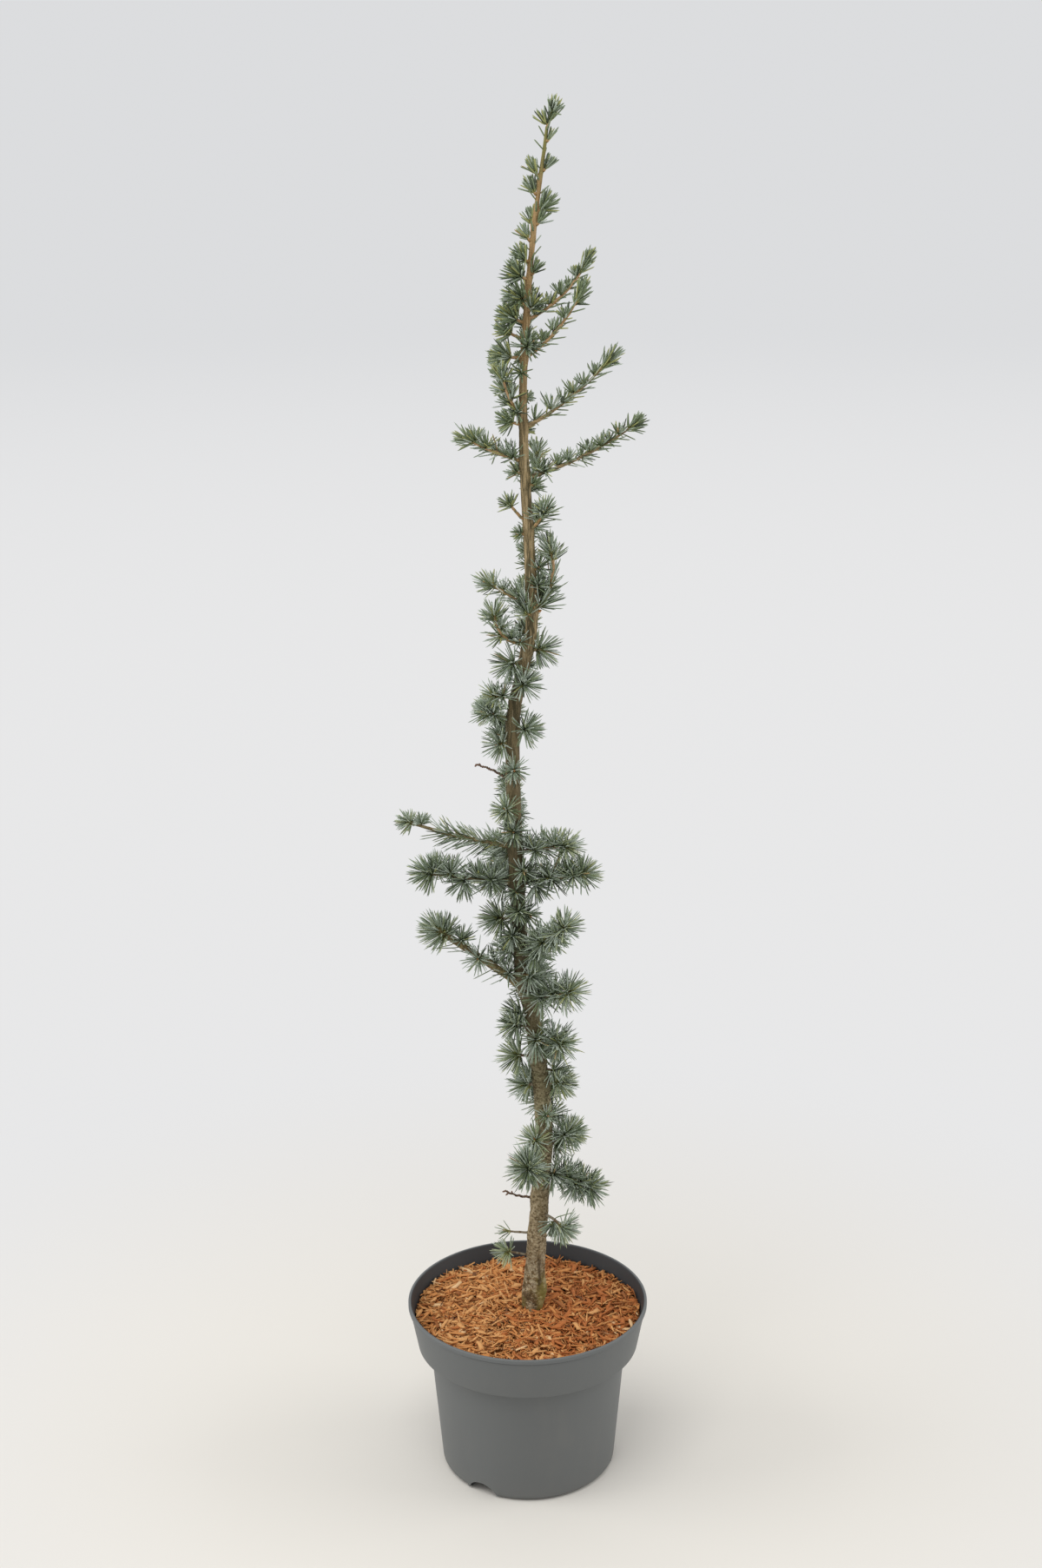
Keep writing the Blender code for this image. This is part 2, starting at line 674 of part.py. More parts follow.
def main():
    """Build the pot, the fill, the trunk, the limbs and the foliage."""
    clear_scene()
    bark = make_material("bark", BARK_COLOUR, 0.85)
    twig = make_material("dead_twig", TWIG_COLOUR, 0.9)
    needles = make_material("needles", NEEDLE_COLOUR, 0.55)
    make_pot(make_material("pot", POT_COLOUR, 0.5))
    make_mulch(make_material("mulch", MULCH_COLOUR, 0.95))
    make_trunk(bark)
    taken = Segments()
    claim_trunk(taken)
    for shoot in SHOOTS + DEAD_TWIGS + (LEADER,):
        if shoot.bough:
            claim_limb(taken, shoot, 0.0, shoot.bough, "bough_" + shoot.name)
        if shoot not in DEAD_TWIGS:
            claim_limb(taken, shoot, shoot.bough, shoot.length, "foliage_" + shoot.name)
    for shoot in DEAD_TWIGS:
        make_limb(shoot, shoot.name, twig)
    for shoot in SHOOTS:
        if shoot.bough:
            make_limb(shoot, "bough_" + shoot.name, bark)
    rng = np.random.default_rng(SEED)
    for shoot in SHOOTS + (LEADER,):
        make_foliage(shoot, taken, rng, needles)


main()
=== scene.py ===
"""A young cedar of Lebanon in a nursery pot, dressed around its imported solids.

Metres, +Z up. The origin is the centre of the pot's underside, and the front faces -Y.
Azimuths turn from 0 at the right through 90 at the back. Each foliage solid gives way to a
finer shoot on the same line: a stem, short spurs with rosettes of needles, and single needles.
"""

import logging
import math
from collections.abc import Sequence
from dataclasses import dataclass, field
from enum import Enum
from functools import cache, cached_property

import bmesh
import bpy
import numpy as np
from bmesh.types import BMEdge, BMesh, BMVert
from bpy.types import ID, Material, Node, NodeSocket, Object
from mathutils import Matrix, Vector, noise


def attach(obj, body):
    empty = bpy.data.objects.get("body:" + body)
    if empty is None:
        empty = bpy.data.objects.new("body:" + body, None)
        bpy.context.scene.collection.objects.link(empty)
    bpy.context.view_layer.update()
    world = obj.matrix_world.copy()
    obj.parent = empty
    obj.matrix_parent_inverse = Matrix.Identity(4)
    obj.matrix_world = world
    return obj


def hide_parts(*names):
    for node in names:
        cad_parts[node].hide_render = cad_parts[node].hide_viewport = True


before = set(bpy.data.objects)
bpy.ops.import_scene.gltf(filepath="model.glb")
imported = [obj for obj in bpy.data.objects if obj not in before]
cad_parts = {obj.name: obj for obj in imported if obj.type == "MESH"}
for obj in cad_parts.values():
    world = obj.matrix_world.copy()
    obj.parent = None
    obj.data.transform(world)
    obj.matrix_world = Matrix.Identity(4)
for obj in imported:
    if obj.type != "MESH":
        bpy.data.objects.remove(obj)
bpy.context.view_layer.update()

LOG = logging.getLogger("cedar")
BODY = "root"
SEED = 11
GOLDEN_TURN = math.radians(137.5)
FULL_PIECE = 160_000  # the triangles past which the next shoot starts a new piece
NEAR = 1e-5  # how far from a ring a corner may be
MERGED = 1e-6  # how far apart corners are merged

Colour = tuple[float, float, float]
Span = tuple[float, float]
Point = tuple[float, float, float]
Zone = tuple[float, float, float, float]
Places = np.ndarray
Amount = float | Places
Paint = Colour | NodeSocket


# ---------------------------------------------------------------- Shader graphs


@dataclass(frozen=True)
class Value:
    """A number that varies over a surface. Arithmetic on it adds Math nodes."""

    graph: "Graph"
    socket: NodeSocket

    def __add__(self, other: "Value | float") -> "Value":
        """Add a value or a number."""
        return self.graph.math("ADD", self, other)

    def __sub__(self, other: "Value | float") -> "Value":
        """Take away a value or a number."""
        return self.graph.math("SUBTRACT", self, other)

    def __rsub__(self, other: float) -> "Value":
        """Take this away from a number."""
        return self.graph.math("SUBTRACT", other, self)

    def __mul__(self, other: "Value | float") -> "Value":
        """Multiply by a value or a number."""
        return self.graph.math("MULTIPLY", self, other)

    __radd__ = __add__
    __rmul__ = __mul__


class Graph:
    """One material's nodes, around a Principled shader."""

    def __init__(self, name: str, roughness: float, specular: float) -> None:
        """Start a material.

        Args:
            name: the material's name.
            roughness: the shader's own roughness.
            specular: the shader's own specular level.
        """
        self.material = bpy.data.materials.new(name)
        self.material.use_nodes = True
        self.tree = self.material.node_tree
        self.shader = self.tree.nodes["Principled BSDF"]
        self.shader.inputs["Roughness"].default_value = roughness
        self.shader.inputs["Specular IOR Level"].default_value = specular
        self.place = self.node("ShaderNodeTexCoord").outputs["Object"]

    def node(self, kind: str, settings: dict | None = None, inputs: dict | None = None) -> Node:
        """Add any node.

        Args:
            kind: the node's type.
            settings: its properties, set first.
            inputs: values or links of its sockets, by name or number.

        Returns:
            The node.
        """
        made = self.tree.nodes.new(kind)
        for key, setting in (settings or {}).items():
            setattr(made, key, setting)
        for key, given in (inputs or {}).items():
            source = given.socket if isinstance(given, Value) else given
            if isinstance(source, NodeSocket):
                self.tree.links.new(source, made.inputs[key])
            else:
                made.inputs[key].default_value = source
        return made

    def value(self, kind: str, settings: dict, inputs: dict, output: int = 0) -> Value:
        """Add any node, and give one of its outputs."""
        return Value(self, self.node(kind, settings, inputs).outputs[output])

    def math(self, operation: str, *values: "Value | float") -> Value:
        """Add a Math node, and give its result."""
        return self.value("ShaderNodeMath", {"operation": operation}, dict(enumerate(values)))

    def vector(self, operation: str, *values: Colour | NodeSocket) -> Node:
        """Add a Vector Math node."""
        return self.node("ShaderNodeVectorMath", {"operation": operation}, dict(enumerate(values)))

    def noise(self, scale: float, detail: float = 3.0, stretch: Colour = (1.0, 1.0, 1.0)) -> Value:
        """Noise over the piece's own coordinates.

        Args:
            scale: how many features a metre holds.
            detail: its octaves.
            stretch: how much denser it is along each axis.

        Returns:
            The noise, from 0 to 1.
        """
        mapped = self.node("ShaderNodeMapping", {}, {"Vector": self.place, "Scale": stretch})
        sockets = {"Vector": mapped.outputs[0], "Scale": scale, "Detail": detail, "Roughness": 0.6}
        return self.value("ShaderNodeTexNoise", {}, sockets)

    def plates(self, scale: float, wobble: float, stretch: Colour) -> tuple[Value, Value]:
        """Irregular plates with cracks between them.

        Args:
            scale: how many plates a metre holds.
            wobble: how far the cracks wander, in metres.
            stretch: how much denser they are along each axis.

        Returns:
            How far a place is from its plate's edge, and the plate's own number from 0 to 1.
        """
        sockets = {"Vector": self.place, "Scale": 1.6 * scale, "Detail": 2.0}
        noisy = self.node("ShaderNodeTexNoise", {}, sockets)
        moved = self.vector("MULTIPLY_ADD", noisy.outputs[1], (wobble, wobble, wobble), self.place)
        mapped = self.node("ShaderNodeMapping", {}, {"Vector": moved.outputs[0], "Scale": stretch})
        sockets = {"Vector": mapped.outputs[0], "Scale": scale}
        cell = self.node("ShaderNodeTexVoronoi", {}, sockets)
        number = self.value("ShaderNodeSeparateXYZ", {}, {0: cell.outputs["Color"]})
        return self.value("ShaderNodeTexVoronoi", {"feature": "DISTANCE_TO_EDGE"}, sockets), number

    def height(self) -> Value:
        """The height above the pot's underside."""
        return self.value("ShaderNodeSeparateXYZ", {}, {0: self.place}, 2)

    def facing(self, centre: Colour, azimuth: float) -> Value:
        """How squarely a place lies at an azimuth of an upright axis.

        Args:
            centre: a point of the axis.
            azimuth: degrees from the right, through the back.

        Returns:
            The cosine of the angle between them.
        """
        off = self.vector("SUBTRACT", self.place, centre)
        flat = self.vector("MULTIPLY", off.outputs[0], (1.0, 1.0, 0.0))
        unit = self.vector("NORMALIZE", flat.outputs[0])
        cosine = self.vector("DOT_PRODUCT", unit.outputs[0], tuple(heading(azimuth, 0.0)))
        return Value(self, cosine.outputs[1])

    def rise(self, value: Value, low: float, high: float) -> Value:
        """Rise smoothly from 0 at low to 1 at high, and stay there."""
        sockets = {"Value": value, "From Min": low, "From Max": high}
        return self.value("ShaderNodeMapRange", {"interpolation_type": "SMOOTHSTEP"}, sockets)

    def fall(self, value: Value, low: float, high: float) -> Value:
        """Fall smoothly from 1 at low to 0 at high."""
        return 1.0 - self.rise(value, low, high)

    def between(self, value: Value, ends: Sequence[float]) -> Value:
        """Rise between the first two of four ends and fall between the last two."""
        return self.rise(value, ends[0], ends[1]) * self.fall(value, ends[2], ends[3])

    def mix(self, factor: Value, first: Paint, second: Paint) -> NodeSocket:
        """Mix two colours.

        Args:
            factor: 0 gives the first, 1 the second.
            first: a colour or a link.
            second: a colour or a link.

        Returns:
            The mixed colour's socket.
        """
        ends = [(*end, 1.0) if isinstance(end, tuple) else end for end in (first, second)]
        made = self.node("ShaderNodeMix", {"data_type": "RGBA"}, {0: factor, 6: ends[0], 7: ends[1]})
        return made.outputs[2]

    def layered(self, base: NodeSocket, layers: Sequence[tuple[Value, Colour]]) -> NodeSocket:
        """Lay colours over one another.

        Args:
            base: the undermost colour.
            layers: where each next colour lies, and the colour.

        Returns:
            The colour on top.
        """
        for factor, colour in layers:
            base = self.mix(factor, base, colour)
        return base

    def colour(self, socket: Paint) -> None:
        """Give the shader its base colour.

        Args:
            socket: a colour or a link.
        """
        if isinstance(socket, tuple):
            self.shader.inputs["Base Color"].default_value = (*socket, 1.0)
            self.material.diffuse_color = (*socket, 1.0)
        else:
            self.tree.links.new(socket, self.shader.inputs["Base Color"])

    def roughness(self, value: Value) -> None:
        """Let the roughness vary."""
        self.tree.links.new(value.socket, self.shader.inputs["Roughness"])

    def bump(self, height: Value, distance: float, strength: float) -> None:
        """Bump the surface.

        Args:
            height: the relief, from 0 to 1.
            distance: its depth in metres.
            strength: how strongly it shows.
        """
        sockets = {"Height": height, "Distance": distance, "Strength": strength}
        made = self.node("ShaderNodeBump", {}, sockets)
        self.tree.links.new(made.outputs[0], self.shader.inputs["Normal"])


# ---------------------------------------------------------------- Finishes


@dataclass(frozen=True)
class PlainFinish:
    """One even colour, for small things that are dealt their colours one by one."""

    name: str
    colour: Colour
    roughness: float = 0.6
    specular: float = 0.4

    def build(self) -> Material:
        """Make the material.

        Returns:
            The material.
        """
        graph = Graph(self.name, self.roughness, self.specular)
        graph.colour(self.colour)
        return graph.material


@dataclass(frozen=True)
class PlasticFinish:
    """Matte moulded plastic with a faint grain and dusty clouding."""

    name: str = "slate_plastic"
    colour: Colour = (0.118, 0.125, 0.124)
    dust: Colour = (0.160, 0.157, 0.146)

    def build(self) -> Material:
        """Make the material.

        Returns:
            The material.
        """
        graph = Graph(self.name, 0.5, 0.5)
        cloud = graph.noise(14.0, 4.0)
        streak = graph.noise(60.0, 3.0, (1.0, 1.0, 0.12))
        grain = graph.noise(1400.0, 2.0)
        dusty = graph.rise(cloud * 0.65 + streak * 0.35, 0.48, 0.78)
        foot = graph.fall(graph.height(), 0.0, 0.03)
        graph.colour(graph.mix(dusty * 0.35 + foot * 0.2, self.colour, self.dust))
        graph.roughness(0.46 + cloud * 0.16)
        graph.bump(grain * 0.6 + streak * 0.4, 0.00012, 0.35)
        return graph.material


class BarkReadings:
    """What the bark's colours and relief read at each place."""

    def __init__(self, graph: Graph, grain: Colour) -> None:
        """Add the height and the noises.

        Args:
            graph: the material's nodes.
            grain: how much denser the stripes are along each axis.
        """
        self.height = graph.height()
        self.patches = graph.noise(70.0, 5.0, (1.0, 1.0, 1.3))
        self.tint = graph.noise(24.0, 3.0)
        self.worn = graph.rise(graph.noise(38.0, 3.0), 0.46, 0.66)
        self.wrinkles = graph.noise(150.0, 4.0, (1.0, 1.0, 3.4))
        self.scales = graph.noise(420.0, 5.0, (1.0, 1.0, 1.1))
        self.pale = graph.noise(95.0, 5.0, (1.0, 1.0, 0.8))
        self.stripes = graph.noise(820.0, 3.0, grain)
        self.broad = graph.noise(300.0, 2.0, grain)


@dataclass(frozen=True)
class BarkFinish:
    """Bark: wrinkled and scaly when old, striped lengthwise when younger, green on this year's wood, with
    painted shade in two bands where the foliage shades the trunk.
    """

    name: str
    grain: Colour
    crevice: Colour = (0.050, 0.030, 0.011)
    shadow: Colour = (0.150, 0.106, 0.052)
    ground: Colour = (0.242, 0.182, 0.096)
    crest: Colour = (0.485, 0.405, 0.265)
    umber: Colour = (0.185, 0.108, 0.040)
    groove: Colour = (0.084, 0.066, 0.030)
    ridge: Colour = (0.330, 0.244, 0.125)
    fleck: Colour = (0.580, 0.480, 0.330)
    gold: Colour = (0.400, 0.240, 0.100)
    golden: Span = (0.96, 1.10)
    green: Colour = (0.175, 0.170, 0.052)
    moss: Colour = (0.255, 0.225, 0.050)
    cleft: float = 310.0
    cleft_centre: Colour = (0.005, 0.0, 0.0)
    mossy_grey: Colour = (0.155, 0.152, 0.078)
    grey_zone: Zone = (0.26, 0.34, 0.42, 0.50)
    # Painted shade: the colour, bands and strengths that darken the bark where the foliage shades it
    painted_shade: Colour = (0.050, 0.042, 0.018)
    shade_zone: Zone = (0.32, 0.52, 0.76, 0.82)
    shade_strength: float = 0.60
    deep_shade_zone: Zone = (0.46, 0.52, 0.63, 0.69)
    deep_shade_strength: float = 0.42
    striped: Span = (0.48, 0.66)
    greened: Span = (1.13, 1.24)

    def old_bark(self, graph: Graph, read: BarkReadings) -> NodeSocket:
        """Wrinkled and scaly bark, damp and mossy at the foot, split once with painted shade in the split,
        and grey in the middle.

        Args:
            graph: the material's nodes.
            read: the height and the noises.

        Returns:
            Its colour.
        """
        height, scales, uneven = read.height, read.scales, read.patches - 0.5
        edge, plate = graph.plates(390.0, 0.006, (1.0, 1.0, 0.7))
        plated = read.pale + plate * 0.16
        scaly = graph.fall(height + uneven * 0.06, 0.196, 0.232)
        foot = graph.fall(height, 0.172, 0.192)
        lichen = graph.rise(graph.facing(self.cleft_centre, self.cleft + 26.0), 0.55, 0.95)
        lichen = lichen * 0.6 + graph.rise(read.tint, 0.50, 0.62) * 0.3
        # Painted shade: the split is darkened as the shade inside a deep crack
        ragged = graph.facing(self.cleft_centre, self.cleft) + uneven * 0.08 + (scales - 0.5) * 0.04
        split = graph.rise(ragged, 0.976, 1.000) * graph.rise(height + uneven * 0.04, 0.180, 0.194)
        grey = graph.between(height, self.grey_zone)
        ground = graph.mix(graph.rise(read.patches, 0.32, 0.58), self.shadow, self.ground)
        layers = (
            (graph.rise(read.tint, 0.35, 0.65) * 0.4, self.ground),
            (graph.fall(height, 0.175, 0.250) * 0.75, self.umber),
            (graph.rise(scales, 0.50, 0.60) * (0.40 + read.worn * 0.35), self.crest),
            (read.worn * (1.0 - scaly) * 0.18, self.crest),
            (graph.fall(scales, 0.38, 0.46) * 0.75, self.crevice),
            (scaly * graph.rise(plated, 0.58, 0.66) * 0.85, self.crest),
            (scaly * graph.fall(plated, 0.48, 0.55) * 0.65, self.crevice),
            (scaly * graph.fall(edge, 0.02, 0.14) * 0.60, self.crevice),
            (graph.fall(read.wrinkles, 0.38, 0.46) * (0.30 + foot * 0.55), self.crevice),
            (graph.fall(height, 0.172, 0.206) * lichen, self.moss),
            (split * graph.fall(height + uneven * 0.05, 0.206, 0.222) * 0.80, self.crevice),
            (grey * (0.32 + graph.rise(read.patches, 0.36, 0.60) * 0.30), self.mossy_grey),
            (grey * graph.rise(scales * 0.6 + read.pale * 0.4, 0.52, 0.60) * 0.40, self.crest),
            (grey * graph.fall(scales * 0.6 + read.wrinkles * 0.4, 0.43, 0.49) * 0.65, self.crevice),
        )
        return graph.layered(ground, layers)

    def build(self) -> Material:
        """Make the material.

        Returns:
            The material.
        """
        graph = Graph(self.name, 0.8, 0.3)
        read = BarkReadings(graph, self.grain)
        # Painted shade where the foliage shades the trunk, laid over the old and the young bark alike
        painted_shade = (
            (graph.between(read.height, self.shade_zone) * self.shade_strength, self.painted_shade),
            (graph.between(read.height, self.deep_shade_zone) * self.deep_shade_strength, self.painted_shade),
        )
        striped = graph.rise(read.stripes * 0.6 + read.broad * 0.4, 0.42, 0.56)
        fresh = graph.rise(read.height + (read.broad - 0.5) * 0.20, *self.greened)
        layers = (
            (graph.rise(read.stripes, 0.60, 0.70) * 0.7, self.fleck),
            *painted_shade,
            (graph.rise(read.height, *self.golden) * 0.55, self.gold),
            (fresh * graph.rise(read.tint, 0.36, 0.56), self.green),
        )
        young = graph.layered(graph.mix(striped, self.groove, self.ridge), layers)
        old = graph.layered(self.old_bark(graph, read), painted_shade)
        younger = graph.rise(read.height + (read.tint - 0.5) * 0.35, *self.striped)
        graph.colour(graph.mix(younger, old, young))
        graph.bump(read.wrinkles * 0.30 + read.scales * 0.50 + read.stripes * 0.3, 0.0011, 0.9)
        return graph.material


@dataclass(frozen=True)
class SoilFinish:
    """The dark bed that shows between the chips."""

    name: str = "mulch_bed"
    dark: Colour = (0.160, 0.060, 0.015)
    light: Colour = (0.420, 0.160, 0.040)

    def build(self) -> Material:
        """Make the material.

        Returns:
            The material.
        """
        graph = Graph(self.name, 0.95, 0.2)
        crumbs = graph.noise(420.0, 5.0)
        graph.colour(graph.mix(graph.rise(crumbs, 0.38, 0.66), self.dark, self.light))
        graph.bump(crumbs, 0.0015, 0.9)
        return graph.material


@dataclass(frozen=True)
class FloorFinish:
    """A pale floor, warm round the pot, that glows like a seamless backdrop farther off."""

    name: str = "studio_floor"
    near: Colour = (0.720, 0.690, 0.635)
    middle: Colour = (0.805, 0.805, 0.810)
    far: Colour = (0.715, 0.722, 0.735)

    def build(self) -> Material:
        """Make the material.

        Returns:
            The material.
        """
        graph = Graph(self.name, 0.9, 0.1)
        graph.colour(self.near)
        away = Value(graph, graph.vector("LENGTH", graph.place).outputs[1])
        backdrop = graph.mix(graph.rise(away, 2.0, 16.0), self.middle, self.far)
        glow = graph.node("ShaderNodeEmission", {}, {"Color": backdrop})
        sockets = {0: graph.rise(away, 0.22, 1.0), 1: graph.shader.outputs[0], 2: glow.outputs[0]}
        mixed = graph.node("ShaderNodeMixShader", {}, sockets)
        graph.tree.links.new(mixed.outputs[0], graph.tree.nodes["Material Output"].inputs["Surface"])
        return graph.material


class Tone(Enum):
    """The colours that needles are dealt, from the shaded inside to the fresh tips."""

    DEEP = PlainFinish("needle_deep", (0.060, 0.078, 0.043), 0.62)
    GREEN = PlainFinish("needle_green", (0.165, 0.210, 0.108), 0.55)
    SEA = PlainFinish("needle_sea", (0.245, 0.298, 0.208), 0.55)
    BLUE = PlainFinish("needle_blue", (0.345, 0.398, 0.322), 0.58)
    PALE = PlainFinish("needle_pale", (0.455, 0.510, 0.428), 0.60)
    LIME = PlainFinish("needle_lime", (0.330, 0.345, 0.125), 0.52)
    DRY = PlainFinish("needle_dry", (0.360, 0.260, 0.120), 0.70)
    FRESH = PlainFinish("needle_fresh", (0.375, 0.415, 0.250), 0.55)


class Wood(Enum):
    """The colours of stems, spurs, buds and dead twigs."""

    TAN = PlainFinish("shoot_tan", (0.440, 0.280, 0.140), 0.70)
    HONEY = PlainFinish("shoot_honey", (0.340, 0.210, 0.085), 0.70)
    OLIVE = PlainFinish("shoot_olive", (0.200, 0.165, 0.075), 0.75)
    BROWN = PlainFinish("twig_brown", (0.150, 0.100, 0.055), 0.80)
    GREY = PlainFinish("twig_grey", (0.230, 0.195, 0.135), 0.85)
    DARK = PlainFinish("twig_dark", (0.060, 0.040, 0.025), 0.85)
    BUD = PlainFinish("bud_orange", (0.400, 0.190, 0.060), 0.55)
    RUSSET = PlainFinish("dead_russet", (0.165, 0.095, 0.066), 0.85)


class Chip(Enum):
    """The colours of the mulch's chips and fibres."""

    RUST = PlainFinish("chip_rust", (0.410, 0.130, 0.030), 0.85)
    ORANGE = PlainFinish("chip_orange", (0.540, 0.225, 0.064), 0.85)
    TAN = PlainFinish("chip_tan", (0.615, 0.310, 0.110), 0.85)
    PALE = PlainFinish("chip_pale", (0.670, 0.430, 0.215), 0.85)
    BROWN = PlainFinish("chip_brown", (0.300, 0.105, 0.028), 0.88)
    DARK = PlainFinish("chip_dark", (0.150, 0.056, 0.018), 0.90)


def index_of(option: Enum) -> int:
    """The number of an option among its kind, which is its material's place."""
    return list(type(option)).index(option)


def indices(*options: Enum) -> Places:
    """The numbers of several options."""
    return np.array([index_of(option) for option in options])


def by_option(kind: type[Enum], shares: dict[Enum, float]) -> Places:
    """A kind's shares in the order of its options, 0 for one that isn't named."""
    return np.array([shares.get(option, 0.0) for option in kind])


@cache
def finishes_of(kind: type[Enum]) -> list[Material]:
    """The materials of a kind's options, in order, made once."""
    return [option.value.build() for option in kind]


# ---------------------------------------------------------------- Shared geometry


def heading(azimuth: float, rise: float) -> Places:
    """The unit direction of an azimuth and of a rise above the level, in degrees."""
    turn, slope = math.radians(azimuth), math.radians(rise)
    return np.array([math.cos(slope) * math.cos(turn), math.cos(slope) * math.sin(turn), math.sin(slope)])


def normalised(vectors: Places) -> Places:
    """Each vector at length 1."""
    return vectors / np.linalg.norm(vectors, axis=-1, keepdims=True)


def across(directions: Places) -> tuple[Places, Places]:
    """Two unit directions square to each direction and to each other.

    Args:
        directions: unit vectors, in the last axis.

    Returns:
        The side and the up vectors, right-handed with the direction.
    """
    steep = np.abs(directions[..., 2:3]) > 0.97
    reference = np.where(steep, [1.0, 0.0, 0.0], [0.0, 0.0, 1.0])
    side = normalised(np.cross(directions, reference))
    return side, np.cross(directions, side)


def read_table(at: Amount, rows: Sequence[Span]) -> Amount:
    """What a table of (place, amount) rows gives in between them."""
    return np.interp(at, *zip(*rows))


def turn_from(angles: Places, azimuth: float) -> Places:
    """How far each angle is from an azimuth, in radians, the short way round."""
    return np.remainder(angles - math.radians(azimuth) + math.pi, math.tau) - math.pi


def tube_faces(stations: int, sides: int, pointed: bool = False) -> list[tuple[int, ...]]:
    """The faces of a closed tube whose corners run ring by ring.

    Args:
        stations: how many rings there are.
        sides: how many corners a ring has.
        pointed: whether one last corner closes the far end.

    Returns:
        Each face's corners.
    """
    faces = []
    for low in range(0, (stations - 1) * sides, sides):
        for side in range(sides):
            after = (side + 1) % sides
            faces.append((low + side, low + after, low + sides + after, low + sides + side))
    faces.append(tuple(reversed(range(sides))))
    top = (stations - 1) * sides
    if pointed:
        faces += [(top + side, top + (side + 1) % sides, top + sides) for side in range(sides)]
    else:
        faces.append(tuple(range(top, top + sides)))
    return faces


def swept(middles: Places, directions: Places, radii: Places) -> Places:
    """The corners of rings along a line.

    Args:
        middles: each station's place.
        directions: the line's direction at each station.
        radii: a radius for each corner of each station.

    Returns:
        The corners, by station and side.
    """
    side, up = across(directions)
    angles = math.tau * np.arange(radii.shape[1]) / radii.shape[1]
    spread = np.cos(angles)[None, :, None] * side[:, None, :] + np.sin(angles)[None, :, None] * up[:, None, :]
    return middles[:, None, :] + radii[:, :, None] * spread


def linked(name: str, data: ID) -> Object:
    """A new object in the scene.

    Args:
        name: its name.
        data: its mesh, lamp or camera.

    Returns:
        The object.
    """
    thing = bpy.data.objects.new(name, data)
    bpy.context.scene.collection.objects.link(thing)
    return thing


def finish_piece(
    thing: Object,
    materials: Sequence[Material],
    stands_for: Sequence[str] = (),
) -> None:
    """Dress a piece and put it on its body.

    Args:
        thing: the piece.
        materials: its materials, in the order of its faces' numbers.
        stands_for: the solids that it replaces.
    """
    for material in materials:
        thing.data.materials.append(material)
    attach(thing, BODY)
    if stands_for:
        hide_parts(*stands_for)
    count = sum(len(face.vertices) - 2 for face in thing.data.polygons)
    LOG.info("%s: %d triangles", thing.name, count)


def object_from(name: str, shape: BMesh) -> Object:
    """An object from a bmesh, which is freed.

    Args:
        name: the piece's name.
        shape: the bmesh.

    Returns:
        The object, linked to the scene.
    """
    mesh = bpy.data.meshes.new(name)
    shape.to_mesh(mesh)
    shape.free()
    return linked(name, mesh)


def neighbour_in(corner: BMVert, group: set[BMVert]) -> BMVert:
    """The corner of a group that an edge joins to this one."""
    return next(end for edge in corner.link_edges if (end := edge.other_vert(corner)) in group)


def grown_tube(rings: Sequence[Places]) -> BMesh:
    """A closed tube extruded ring by ring from a circle.

    Args:
        rings: the corners' places, one array a ring.

    Returns:
        The bmesh.
    """
    shape = bmesh.new()
    ring = bmesh.ops.create_circle(shape, segments=len(rings[0]), radius=1.0)["verts"]
    edges = shape.edges[:]
    ends = [edges]
    for number, places in enumerate(rings):
        if number:
            grown = bmesh.ops.extrude_edge_only(shape, edges=edges)["geom"]
            fresh = {item for item in grown if isinstance(item, BMVert)}
            ring = [neighbour_in(corner, fresh) for corner in ring]
            edges = [item for item in grown if isinstance(item, BMEdge)]
            edges = [edge for edge in edges if fresh.issuperset(edge.verts)]
        for corner, place in zip(ring, places):
            corner.co = place
    ends.append(edges)
    for loop in ends:
        bmesh.ops.edgeloop_fill(shape, edges=loop)
    bmesh.ops.recalc_face_normals(shape, faces=shape.faces)
    return shape


def turned(profile: Sequence[Span], steps: int) -> BMesh:
    """A solid spun about the upright axis.

    Args:
        profile: (radius, height) points from axis to axis.
        steps: how many sides it gets.

    Returns:
        The bmesh.
    """
    shape = bmesh.new()
    points = [shape.verts.new((radius, 0.0, height)) for radius, height in profile]
    edges = [shape.edges.new(pair) for pair in zip(points, points[1:])]
    bmesh.ops.spin(
        shape,
        geom=points + edges,
        axis=(0, 0, 1),
        cent=(0, 0, 0),
        angle=math.tau,
        steps=steps,
        use_merge=True,
    )
    bmesh.ops.remove_doubles(shape, verts=shape.verts, dist=MERGED)
    bmesh.ops.recalc_face_normals(shape, faces=shape.faces)
    return shape


